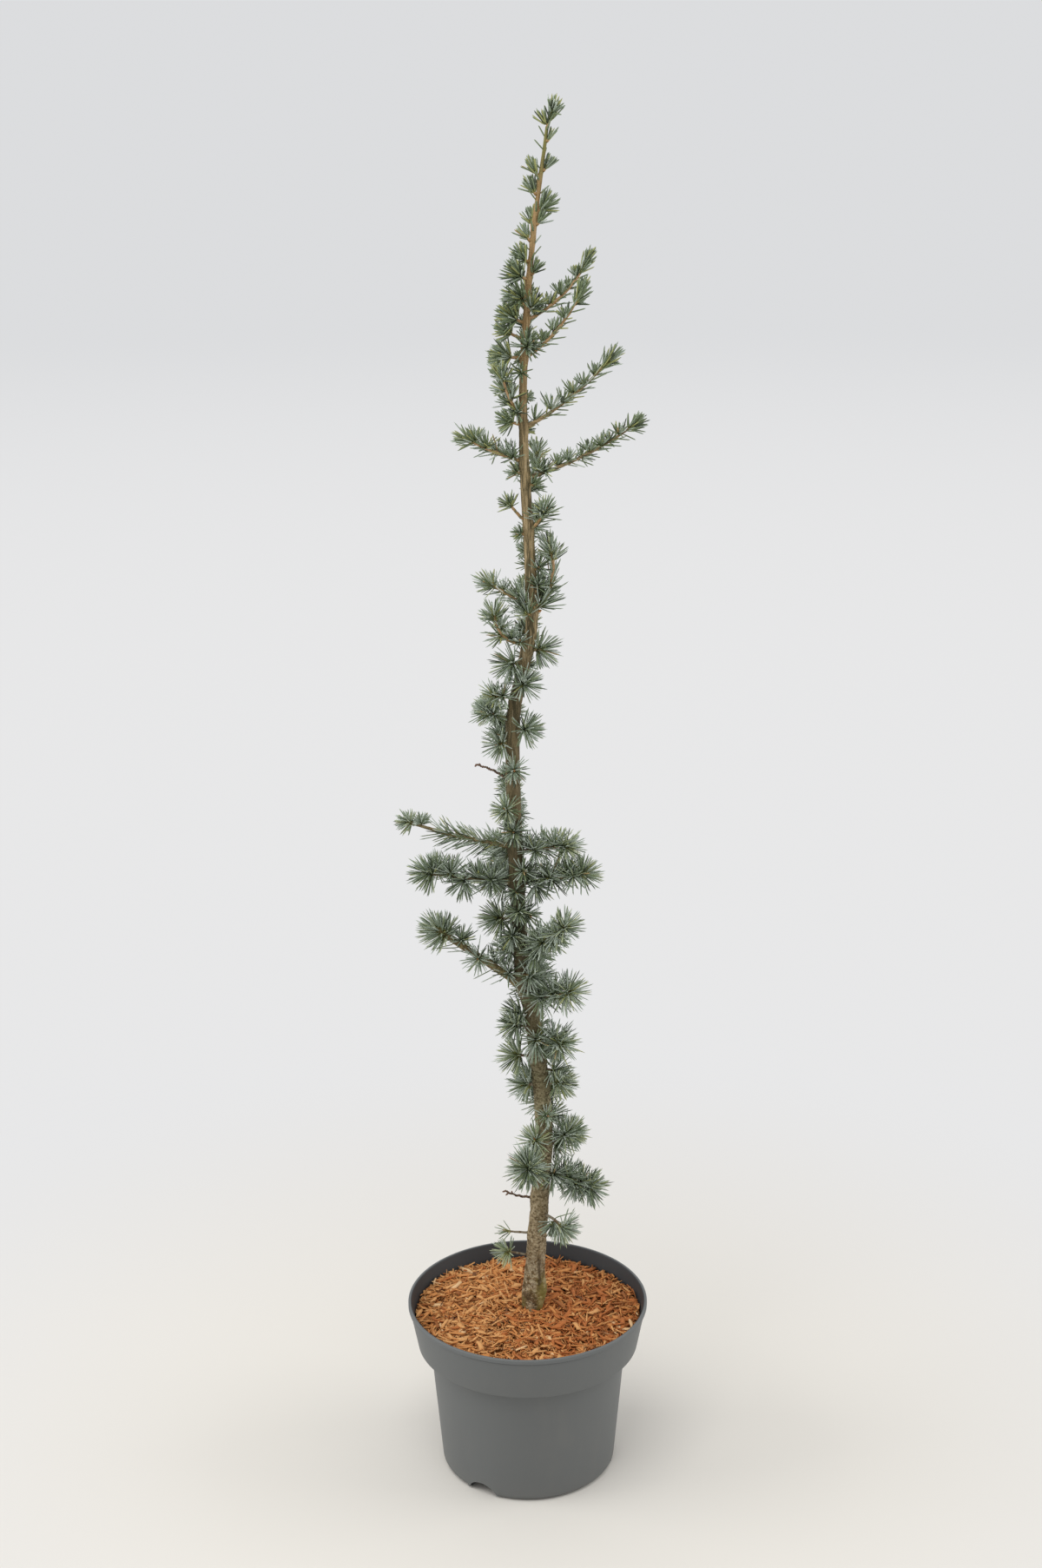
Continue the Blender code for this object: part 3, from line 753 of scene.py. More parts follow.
@dataclass
class Bundle:
    """Many small closed shapes, joined into one piece that replaces what it stands for.

    Its faces are dealt the finishes of one kind. slot is not used.
    """

    name: str
    slot: str
    kind: type[Enum]
    points: list[Places] = field(default_factory=list)
    faces: list[list[int]] = field(default_factory=list)
    tones: list[int] = field(default_factory=list)
    stands_for: list[str] = field(default_factory=list)
    count: int = 0
    triangles: int = 0

    def add(self, points: Places, faces: Sequence[tuple[int, ...]], tones: Places) -> None:
        """Add copies of one net of faces.

        Args:
            points: their corners, by copy and corner.
            faces: the faces of one copy.
            tones: the finish of each face, by copy and face.
        """
        copies, corners, _ = points.shape
        starts = self.count + corners * np.arange(copies)
        for number, face in enumerate(faces):
            self.faces += (starts[:, None] + np.array(face)).tolist()
            self.tones += tones[:, number].tolist()
            self.triangles += copies * (len(face) - 2)
        self.points.append(points.reshape(-1, 3))
        self.count += copies * corners

    def add_tube(self, middles: Places, directions: Places, radii: Places, tones: "int | Places") -> None:
        """Add one closed tube.

        Args:
            middles: each station's place.
            directions: one direction, or one for each station.
            radii: a radius for each corner of each station.
            tones: one finish, or one for each face.
        """
        rings = swept(middles, np.broadcast_to(directions, middles.shape), radii)
        faces = tube_faces(*radii.shape)
        self.add(rings.reshape(1, -1, 3), faces, np.broadcast_to(tones, (1, len(faces))))

    def build(self) -> None:
        """Make the joined mesh."""
        mesh = bpy.data.meshes.new(self.name)
        mesh.from_pydata(np.concatenate(self.points).tolist(), [], self.faces)
        mesh.polygons.foreach_set("material_index", self.tones)
        mesh.shade_smooth()
        finish_piece(linked(self.name, mesh), finishes_of(self.kind), self.stands_for)


# ---------------------------------------------------------------- Pot and fill


@dataclass
class NurseryPot:
    """The pot: a tapered body, a step out to the collar, a beaded rim and arched channels."""

    sides: int = 192
    height: float = 0.168
    rim_radius: float = 0.114
    rim_edge: float = 0.003
    bead_height: float = 0.0042
    bead_out: float = 0.0013
    bead_groove: float = 0.0010
    bead_groove_height: float = 0.0013
    bead_lean: float = 0.0003
    bead_soft: float = 0.0004
    collar_radius: float = 0.105
    collar_foot: float = 0.1245
    collar_soft: float = 0.0009
    body_top_radius: float = 0.0935
    body_top: float = 0.1225
    foot_radius: float = 0.083
    foot_round: float = 0.004
    wall: float = 0.002
    channel_azimuths: tuple[float, ...] = (237.5, 357.5, 117.5)
    channel_half_width: float = 0.015
    channel_height: float = 0.012
    channel_depth: float = 0.028
    channel_past: float = 0.010
    channel_below: float = -0.005
    arch_steps: int = 24
    trim_height: float = 0.03
    crease: float = 32.0
    turned_in: float = 0.02

    def profile(self) -> list[Span]:
        """The outline from the middle of the foot, out, up, over the rim and back inside.

        Returns:
            Its (radius, height) points.
        """
        bead_foot = self.height - self.bead_height
        return [
            (0.0, 0.0),
            (self.foot_radius - self.foot_round, 0.0),
            (self.foot_radius, self.foot_round),
            (self.body_top_radius, self.body_top),
            (self.collar_radius, self.collar_foot),
            (self.rim_radius - self.bead_out - self.bead_lean, bead_foot - self.bead_groove_height),
            (self.rim_radius - self.bead_out - self.bead_groove, bead_foot),
            (self.rim_radius, bead_foot),
            (self.rim_radius, self.height),
            (self.rim_radius - self.rim_edge, self.height),
            (self.collar_radius - self.wall, self.collar_foot + self.wall),
            (self.body_top_radius - self.wall, self.body_top + self.wall),
            (self.foot_radius - self.wall, self.wall),
            (0.0, self.wall),
        ]

    def soften(self, shape: BMesh) -> None:
        """Round the foot, the collar's foot and the rim's bead.

        Args:
            shape: the pot as it was turned.
        """
        rounds = (
            (self.foot_radius - self.foot_round, 0.0, self.foot_round * 0.5, 4),
            (self.foot_radius, self.foot_round, self.foot_round * 0.5, 4),
            (self.collar_radius, self.collar_foot, self.collar_soft, 4),
            (self.rim_radius, self.height, self.bead_soft * 2, 4),
            (self.rim_radius - self.rim_edge, self.height, self.bead_soft * 2, 4),
            (self.rim_radius, self.height - self.bead_height, self.bead_soft, 3),
        )
        for radius, height, width, segments in rounds:
            place = (radius, height)
            near = {end for end in shape.verts if math.dist((end.co.xy.length, end.co.z), place) < NEAR}
            bmesh.ops.bevel(
                shape,
                geom=[edge for edge in shape.edges if near.issuperset(edge.verts)],
                offset=width,
                segments=segments,
                profile=0.5,
                affect="EDGES",
                material=-1,
            )

    def arch(self, azimuth: float, grow: float, bottom: float) -> Object:
        """A prism with an arched top that follows a channel outwards.

        Args:
            azimuth: where it points.
            grow: how much wider, higher and deeper than the channel it is.
            bottom: the height of its underside.

        Returns:
            The prism as an object.
        """
        inner = self.foot_radius - self.channel_depth - grow
        outer = self.foot_radius + self.channel_past
        shape = bmesh.new()
        outline = []
        for step in range(self.arch_steps + 1):
            angle = math.pi * step / self.arch_steps
            side = (self.channel_half_width + grow) * math.cos(angle)
            up = (self.channel_height + grow) * math.sin(angle)
            outline.append(shape.verts.new((inner, side, max(0.0, bottom) + up)))
        if bottom < 0:
            for side in (-1, 1):
                outline.append(shape.verts.new((inner, side * (self.channel_half_width + grow), bottom)))
        near = shape.faces.new(outline)
        made = bmesh.ops.extrude_face_region(shape, geom=[near])["geom"]
        far = [item for item in made if isinstance(item, BMVert)]
        bmesh.ops.translate(shape, verts=far, vec=(outer - inner, 0, 0))
        bmesh.ops.recalc_face_normals(shape, faces=shape.faces)
        turn = Matrix.Rotation(math.radians(azimuth), 3, "Z")
        bmesh.ops.rotate(shape, verts=shape.verts, cent=(0, 0, 0), matrix=turn)
        return object_from("arch", shape)

    def combine(self, thing: Object, tool: Object, operation: str) -> None:
        """Cut or join with a tool, and remove the tool.

        Args:
            thing: what is changed.
            tool: the other solid.
            operation: the Boolean's operation.
        """
        boolean = thing.modifiers.new("Combine", "BOOLEAN")
        boolean.operation = operation
        boolean.solver = "MANIFOLD"
        boolean.object = tool
        graph = bpy.context.evaluated_depsgraph_get()
        mesh = bpy.data.meshes.new_from_object(thing.evaluated_get(graph))
        thing.modifiers.clear()
        thing.data = mesh
        bpy.data.objects.remove(tool, do_unlink=True)

    def within(self) -> Object:
        """The space inside the middle of the foot's wall, which trims the channels' roofs.

        Returns:
            The space as an object.
        """
        top = self.trim_height
        low = self.foot_radius - self.wall / 2
        high = low + top * (self.body_top_radius - self.foot_radius) / self.body_top
        profile = ((0.0, 0.0), (low, 0.0), (high, top), (0.0, top))
        return object_from("within", turned(profile, self.sides))

    def clear_channels(self, thing: Object, grow: float) -> None:
        """Cut the channels out of a piece, then smooth it and drop its materials.

        Args:
            thing: the piece.
            grow: how far it stays clear of them.
        """
        for azimuth in self.channel_azimuths:
            self.combine(thing, self.arch(azimuth, grow, self.channel_below), "DIFFERENCE")
        thing.data.materials.clear()
        thing.data.shade_smooth()

    def build(self) -> None:
        """Make the pot."""
        shape = turned(self.profile(), self.sides)
        self.soften(shape)
        pot = object_from("nursery_pot", shape)
        for azimuth in self.channel_azimuths:
            roof = self.arch(azimuth, self.wall, 0.8 * self.wall)
            self.combine(roof, self.within(), "INTERSECT")
            self.combine(pot, roof, "UNION")
        self.clear_channels(pot, 0.0)
        pot.data.set_sharp_from_angle(angle=math.radians(self.crease))
        outside = PlasticFinish()
        # Painted shade: a much darker copy of the plastic stands in for the shade on the pot's inner wall
        inside = PlasticFinish("slate_plastic_inside_painted_shade", (0.030, 0.032, 0.034), (0.050, 0.046, 0.040))
        finish_piece(pot, [outside.build(), inside.build()], ["pot"])
        # Faces that turn inwards above the floor take the painted-shade copy
        for face in pot.data.polygons:
            inwards = face.normal.xy.dot(face.center.xy) < -self.turned_in * face.center.xy.length
            face.material_index = int(inwards and face.center.z > self.wall)


@dataclass(frozen=True)
class Shreds:
    """One size of shredded bark: metres, degrees, and the shares of its colours.

    roll, bend, sway and shear are how far a splinter strays, and narrowest is the least of its
    width that an end keeps.
    """

    name: str
    count: int
    length: Span
    width: Span
    thickness: float
    tilt: float
    layer: float
    point: float
    shares: tuple[float, ...]
    roll: float = 0.40
    bend: float = 0.11
    sway: float = 0.08
    shear: float = 0.16
    narrowest: float = 0.35


@dataclass
class BarkMulch:
    """The fill: a crumbly bed with shredded bark strewn over it.

    rusty and bright each hold a place from left to right, and the share of the chips past it
    that turn rusty, or light where they were dark.
    """

    pot: NurseryPot
    sides: int = 144
    top: float = 0.1575
    edge_height: float = 0.152
    level_radius: float = 0.030
    swell: float = 0.0012
    clear: float = 0.0006
    bed_sink: float = 0.0020
    crumb_size: float = 160.0
    crumb_height: float = 0.0012
    rings: int = 34
    rim_clear: float = 0.0012
    trunk_middle: Span = (0.004, 0.0)
    trunk_clear: float = 0.0115
    shreds: tuple[Shreds, ...] = (
        Shreds(
            "mulch_fibres", 5200, (0.0028, 0.0130), (0.0006, 0.0022), 0.0006, 32.0, 0.0036, 0.5,
            (0.25, 0.39, 0.20, 0.020, 0.11, 0.03),
        ),
        Shreds(
            "mulch_chips", 3000, (0.0038, 0.0190), (0.0016, 0.0066), 0.0009, 22.0, 0.0044, 0.3,
            (0.24, 0.41, 0.23, 0.020, 0.09, 0.02),
        ),
        Shreds(
            "mulch_shards", 150, (0.0080, 0.0200), (0.0040, 0.0084), 0.0014, 18.0, 0.0050, 0.25,
            (0.10, 0.27, 0.42, 0.16, 0.05, 0.0),
        ),
    )
    rusty: Span = (0.015, 0.35)
    bright: Span = (-0.02, 0.50)

    def inner_radius(self, height: float) -> float:
        """The radius inside the pot's collar.

        Args:
            height: above the pot's underside.

        Returns:
            The radius.
        """
        low = self.pot.collar_foot + self.pot.wall
        share = (height - low) / (self.pot.height - low)
        low_radius = self.pot.collar_radius - self.pot.wall
        return low_radius + share * (self.pot.rim_radius - self.pot.rim_edge - low_radius)

    def surface(self, radius: Places, angle: Places) -> Places:
        """The height of the fill's top.

        Args:
            radius: distances from the axis.
            angle: angles about the axis.

        Returns:
            The heights.
        """
        fall = np.clip((radius - self.level_radius) / (self.pot.rim_radius - self.level_radius), 0, None)
        swell = self.swell * fall * (np.sin(3 * angle) + np.sin(5 * angle + 1.0) - 1.0)
        return self.top + (self.edge_height - self.top) * fall + swell

    def build_bed(self) -> None:
        """Make the bed, a closed plug with a crumbly top and room for the pot's channels."""
        pot = self.pot
        rim = self.inner_radius(self.edge_height) - self.clear
        profile = [
            (0.0, pot.wall + self.clear),
            (pot.foot_radius - pot.wall - 2 * self.clear, pot.wall + self.clear),
            (pot.body_top_radius - pot.wall - self.clear, pot.body_top + pot.wall),
            (pot.collar_radius - pot.wall - self.clear, pot.collar_foot + pot.wall + self.clear),
            (rim, self.edge_height - 2 * self.bed_sink),
        ]
        profile += [(rim * (1 - ring / self.rings), self.edge_height) for ring in range(self.rings + 1)]
        shape = turned(profile, self.sides)
        for corner in shape.verts:
            if corner.co.z > self.edge_height - self.clear:
                flat = corner.co.xy.length
                level = float(self.surface(flat, math.atan2(corner.co.y, corner.co.x)))
                crumb = noise.fractal(corner.co * self.crumb_size, 0.7, 2.2, 4)
                corner.co.z = level - self.bed_sink + self.crumb_height * crumb
        bed = object_from("mulch_bed", shape)
        pot.clear_channels(bed, pot.wall + self.clear)
        finish_piece(bed, [SoilFinish().build()], ["mulch"])

    def strew(self, bundle: Bundle, rng: np.random.Generator, shreds: Shreds) -> None:
        """Strew bent, ragged splinters over the bed.

        Args:
            bundle: what collects them.
            rng: the random source.
            shreds: their sizes.
        """
        count = shreds.count
        (shortest, longest), (slimmest, widest) = shreds.length, shreds.width
        length = shortest + (longest - shortest) * rng.random(count) ** 1.8
        width = np.minimum(slimmest + (widest - slimmest) * rng.random(count) ** 1.6, 0.6 * length)
        yaw = rng.uniform(0, math.tau, count)
        tilt = np.radians(rng.normal(0, shreds.tilt / 2, count).clip(-shreds.tilt, shreds.tilt))
        angle = rng.uniform(0, math.tau, count)
        limit = self.inner_radius(self.edge_height) - self.rim_clear
        reach = 0.5 * length * np.abs(np.cos(yaw - angle)) * np.cos(tilt)
        radius = np.minimum(np.sqrt(rng.random(count)) * limit, limit - reach)
        off = np.stack([radius * np.cos(angle), radius * np.sin(angle)], axis=1) - self.trunk_middle
        away = np.linalg.norm(off, axis=1, keepdims=True)
        middle = self.trunk_middle + off / away * np.maximum(away, self.trunk_clear + width[:, None])
        lift = rng.random(count) ** 1.5 * shreds.layer + 0.35 * length * np.abs(np.sin(tilt))
        level = self.surface(radius, angle) - self.bed_sink * 0.6 + lift
        centre = np.concatenate([middle, level[:, None]], axis=1)
        along = np.stack([np.cos(yaw) * np.cos(tilt), np.sin(yaw) * np.cos(tilt), np.sin(tilt)], axis=1)
        side, up = across(along)
        roll = rng.normal(0, shreds.roll, count)[:, None]
        side, up = np.cos(roll) * side + np.sin(roll) * up, np.cos(roll) * up - np.sin(roll) * side
        bend = rng.normal(0, shreds.bend, count)
        sway = rng.normal(0, shreds.sway, count)
        rings = []
        for share in np.linspace(-0.5, 0.5, 4):
            narrowing = 1 - shreds.point * (2 * abs(share)) ** 3
            tapers = {edge: rng.uniform(shreds.narrowest, 1.0, count) * narrowing for edge in (1, -1)}
            shear = rng.normal(0, shreds.shear, count) * (abs(share) > 0.4)
            bow = length * (0.25 - share * share)
            station = centre + along * (length * share)[:, None]
            station = station + up * (bend * bow)[:, None] + side * (sway * bow)[:, None]
            for left, over in ((1, 1), (-1, 1), (-1, -1), (1, -1)):
                slant = along * (shear * width * left)[:, None]
                spread = side * (left * width * tapers[left] / 2)[:, None]
                rings.append(station + slant + spread + up * over * shreds.thickness / 2)
        faces = tube_faces(4, 4)
        tones = rng.choice(len(shreds.shares), count, p=np.array(shreds.shares) / sum(shreds.shares))
        (right, rusty), (left, bright) = self.rusty, self.bright
        tones[rng.random(count) < rusty * (centre[:, 0] > right)] = index_of(Chip.RUST)
        brightened = (rng.random(count) < bright) & (centre[:, 0] < left)
        dull = np.isin(tones, indices(Chip.RUST, Chip.BROWN, Chip.DARK))
        tones[brightened & dull] = index_of(Chip.TAN)
        bundle.add(np.stack(rings, axis=1), faces, np.repeat(tones[:, None], len(faces), axis=1))

    def build(self, rng: np.random.Generator) -> None:
        """Make the bed, the fibres, the chips and a few large shards.

        Args:
            rng: the random source.
        """
        self.build_bed()
        for shreds in self.shreds:
            bundle = Bundle(shreds.name, "mulch", Chip)
            self.strew(bundle, rng, shreds)
            bundle.build()


# ---------------------------------------------------------------- Trunk


@dataclass
class Trunk:
    """The trunk: level rings up its bends, with bark relief, collars under its shoots and a lump."""

    sides: int = 80
    ring_steps: tuple[Span, ...] = ((0.16, 0.0009), (0.34, 0.0011), (0.60, 0.0018))
    foot: float = 0.1560
    bends: tuple[Point, ...] = (
        (0.158, 0.004, 0.000), (0.273, 0.0123, 0.002), (0.351, 0.0161, 0.004),
        (0.452, 0.0066, 0.001), (0.5075, -0.0027, -0.003), (0.620, -0.008, -0.002),
        (0.735, -0.0093, 0.004), (0.7875, 0.0004, 0.003), (0.825, 0.0076, 0.000),
        (0.980, 0.0016, -0.003), (1.046, 0.002, -0.001), (1.145, 0.0099, 0.002),
        (1.238, 0.0225, 0.001),
    )
    taper: tuple[Span, ...] = (
        (0.158, 0.0205), (0.172, 0.0212), (0.200, 0.0190), (0.270, 0.0172),
        (0.400, 0.0160), (0.530, 0.0142), (0.720, 0.0126), (0.830, 0.0108),
        (0.950, 0.0088), (1.020, 0.0070), (1.145, 0.0047), (1.238, 0.0028),
    )
    lump_azimuth: float = 340.0
    lump_height: float = 0.178
    lump_size: float = 0.0027
    lump_reach: float = 0.016
    lump_width: float = 0.8
    groove_azimuth: float = 310.0
    groove_height: float = 0.198
    groove_width: float = 0.13
    groove_depth: float = 0.0014
    collar_height: float = 0.30
    relief: float = 0.00050
    thick_enough: float = 0.009
    foot_relief: float = 1.9
    foot_reach: float = 0.060
    spine_step: float = 0.004

    def middle(self, height: float) -> Places:
        """The middle at a height, on a smooth curve through the bends.

        Args:
            height: above the pot's underside.

        Returns:
            The place.
        """
        heights = [row[0] for row in self.bends]
        after = min(max(int(np.searchsorted(heights, height)), 1), len(heights) - 1)
        low, high = heights[after - 1], heights[after]
        share = (height - low) / (high - low)
        place = [0.0, 0.0, height]
        for column in (1, 2):
            slopes = []
            for knot in (after - 1, after):
                before, later = max(knot - 1, 0), min(knot + 1, len(heights) - 1)
                rise = self.bends[later][column] - self.bends[before][column]
                slopes.append(rise / (heights[later] - heights[before]) * (high - low))
            start, end = self.bends[after - 1][column], self.bends[after][column]
            place[column - 1] = (
                start * (1 + 2 * share) * (1 - share) ** 2
                + slopes[0] * share * (1 - share) ** 2
                + end * share**2 * (3 - 2 * share)
                + slopes[1] * share**2 * (share - 1)
            )
        return np.array(place)

    def radius(self, height: Amount) -> Amount:
        """Half the diameter at a height."""
        return read_table(height, self.taper) / 2

    def tip(self) -> float:
        """The height of the trunk's tip."""
        return self.bends[-1][0]

    @cached_property
    def spine(self) -> tuple[Places, Places]:
        """The heights and the middles of close stations up the trunk."""
        heights = np.arange(self.foot, self.tip(), self.spine_step)
        return heights, np.array([self.middle(height) for height in heights])

    def is_clear(self, points: Places, margin: float) -> Places:
        """Say which points are outside the trunk.

        Args:
            points: places, in the last axis.
            margin: how far outside they have to be.

        Returns:
            True for each that is outside.
        """
        heights, middles = self.spine
        right = points[..., 0] - np.interp(points[..., 2], heights, middles[:, 0])
        back = points[..., 1] - np.interp(points[..., 2], heights, middles[:, 1])
        return (np.hypot(right, back) > self.radius(points[..., 2]) + margin) | (points[..., 2] > self.tip())

    def swelling(self, height: float, angles: Places, shoots: "Sequence[Shoot]") -> Places:
        """How far the skin stands out from a plain taper round one ring.

        Args:
            height: the ring's height.
            angles: its corners' angles.
            shoots: what leaves the trunk, each from a collar.

        Returns:
            The offset of each corner.
        """
        turn = turn_from(angles, self.lump_azimuth)
        up = (height - self.lump_height) / self.lump_reach
        offset = self.lump_size * np.exp(-((turn / self.lump_width) ** 2) - up**2)
        turn = turn_from(angles, self.groove_azimuth)
        up = (height - self.groove_height) / self.lump_reach
        offset -= self.groove_depth * np.exp(-((turn / self.groove_width) ** 2) - up**2)
        for shoot in shoots:
            reach = 0.9 * shoot.thickness + 0.25 * self.radius(shoot.height)
            up = (height - shoot.height + 0.3 * reach) / (1.5 * reach)
            if abs(up) < 2.5:
                turn = turn_from(angles, shoot.azimuth)
                width = 1.2 * reach / self.radius(height)
                offset += self.collar_height * shoot.thickness * np.exp(-((turn / width) ** 2) - up**2)
        return offset

    def bark(self, place: Vector) -> float:
        """The bark's relief.

        Args:
            place: a place on the skin.

        Returns:
            The relief, as a share of its depth.
        """
        broad = noise.noise(place * 70.0)
        wrinkle = abs(noise.noise(Vector((place.x * 90, place.y * 90, place.z * 300))))
        crack = max(0.0, 0.10 - abs(noise.noise(place * 105.0 + Vector((7.0, 3.0, 1.0))))) / 0.10
        crumb = noise.noise(place * 430.0)
        return 0.9 * broad - 0.6 * wrinkle - 0.9 * crack + 0.40 * crumb

    def ring_heights(self) -> list[float]:
        """Space the rings, closest together at the foot.

        Returns:
            Their heights.
        """
        heights = [self.foot]
        while heights[-1] < self.tip():
            step = float(read_table(heights[-1], self.ring_steps))
            heights.append(min(self.tip(), heights[-1] + step))
        return heights

    def build(self, shoots: "Sequence[Shoot]") -> None:
        """Make the trunk.

        Args:
            shoots: what leaves it.
        """
        angles = math.tau * np.arange(self.sides) / self.sides
        flat = np.stack([np.cos(angles), np.sin(angles), np.zeros(self.sides)], axis=1)
        rings = []
        for height in self.ring_heights():
            middle = self.middle(height)
            radius = self.radius(height) + self.swelling(height, angles, shoots)
            rough = 1.0 + (self.foot_relief - 1.0) * math.exp(-(height - self.foot) / self.foot_reach)
            depth = self.relief * min(1.0, self.radius(height) / self.thick_enough) * rough
            bark = np.array([self.bark(Vector(middle + self.radius(height) * way)) for way in flat])
            rings.append(middle + (radius + depth * bark)[:, None] * flat)
        trunk = object_from("trunk_bark", grown_tube(rings))
        trunk.data.shade_smooth()
        finish = BarkFinish("trunk_bark", grain=(1.0, 1.0, 0.07))
        finish_piece(trunk, [finish.build()], ["trunk"])


# ---------------------------------------------------------------- Crown


@dataclass(frozen=True)
class Growth:
    """What a shoot carries. Places along it are shares of its length.

    rosettes stand a pitch apart, face upwards as strongly as upward says and forwards as forward
    says, and have needles of rosette_reach times the usual length. singles stand a spacing apart
    and lean off the stem. The tuft covers the last tuft_run metres, opened by tuft_open.
    """

    rosettes: Span
    pitch: float
    needles: int
    rosette_reach: float
    upward: float
    singles: Span
    spacing: float
    lean: float
    tuft: int
    tuft_reach: float = 1.0
    tuft_run: float = 0.005
    tuft_open: float = 0.92
    forward: float = 0.4


NONE = (1.0, 1.0)


class Habit(Enum):
    """How a shoot is clothed."""

    YOUNG = Growth((0.10, 0.78), 0.0125, 22, 0.82, 1.5, (0.15, 1.0), 0.0021, 40.0, 44, 1.12, 0.013, 0.62, 0.9)
    MIXED = Growth((0.06, 0.84), 0.0105, 26, 0.82, 1.0, (0.30, 1.0), 0.0020, 46.0, 42, 1.0, 0.009, 0.74, 0.7)
    SPURRED = Growth((0.05, 0.94), 0.0078, 62, 1.0, 0.5, (0.60, 1.0), 0.0030, 56.0, 64)
    TUFTED = Growth((0.50, 0.90), 0.0120, 48, 0.86, 0.8, (0.20, 1.0), 0.0022, 56.0, 56, 0.90)
    LONG = Growth((0.85, 0.86), 0.0150, 64, 0.58, 1.4, (0.00, 0.64), 0.00042, 48.0, 80, 0.66)
    POMPOM = Growth(
        (0.06, 0.82), 0.0118, 78, 0.80, 0.3, (0.05, 0.60), 0.0030, 56.0, 120, 0.84, 0.006, 0.95, 0.3
    )
    BARE = Growth((0.16, 0.86), 0.0150, 46, 0.78, 1.2, (0.10, 1.0), 0.0024, 64.0, 170, 1.08, 0.012)
    HOOKED = Growth(NONE, 0.0200, 0, 1.0, 0.0, (0.00, 0.62), 0.0011, 40.0, 96, 0.95, 0.015, 0.75)
    SPUR = Growth(NONE, 0.0200, 0, 1.0, 0.0, NONE, 0.0050, 50.0, 96)


@dataclass(frozen=True)
class Shoot:
    """One shoot: sizes in metres, angles in degrees.

    rise is the slope above the level, at the foot and at the tip, and turn is how far the
    heading swings by the tip. A bough's foot stretch is a solid of its own. reach scales the
    needles' length and fullness their number, shade darkens them from 0 to 1, and splay is how
    far they lean off a rosette's axis, where its height doesn't settle that.
    """

    name: str
    height: float
    azimuth: float
    length: float
    foot_rise: float
    tip_rise: float
    turn: float = 0.0
    thickness: float = 0.003
    habit: Habit = Habit.SPUR
    bough: bool = False
    reach: float = 1.0
    fullness: float = 1.0
    shade: float = 0.0
    tip_thickness: float = 0.0019
    splay: float = 0.0

    @property
    def is_leader(self) -> bool:
        """Whether the shoot goes on from the trunk's tip."""
        return self.name == "leader"

    def heading_at(self, share: float) -> Places:
        """The direction at a share of the length."""
        rise = self.foot_rise + (self.tip_rise - self.foot_rise) * share
        return heading(self.azimuth + self.turn * share, rise)

    def radius(self, share: Amount) -> Amount:
        """Half the diameter at a share of the length."""
        tip = min(self.tip_thickness, self.thickness)
        return (self.thickness + (tip - self.thickness) * share) / 2


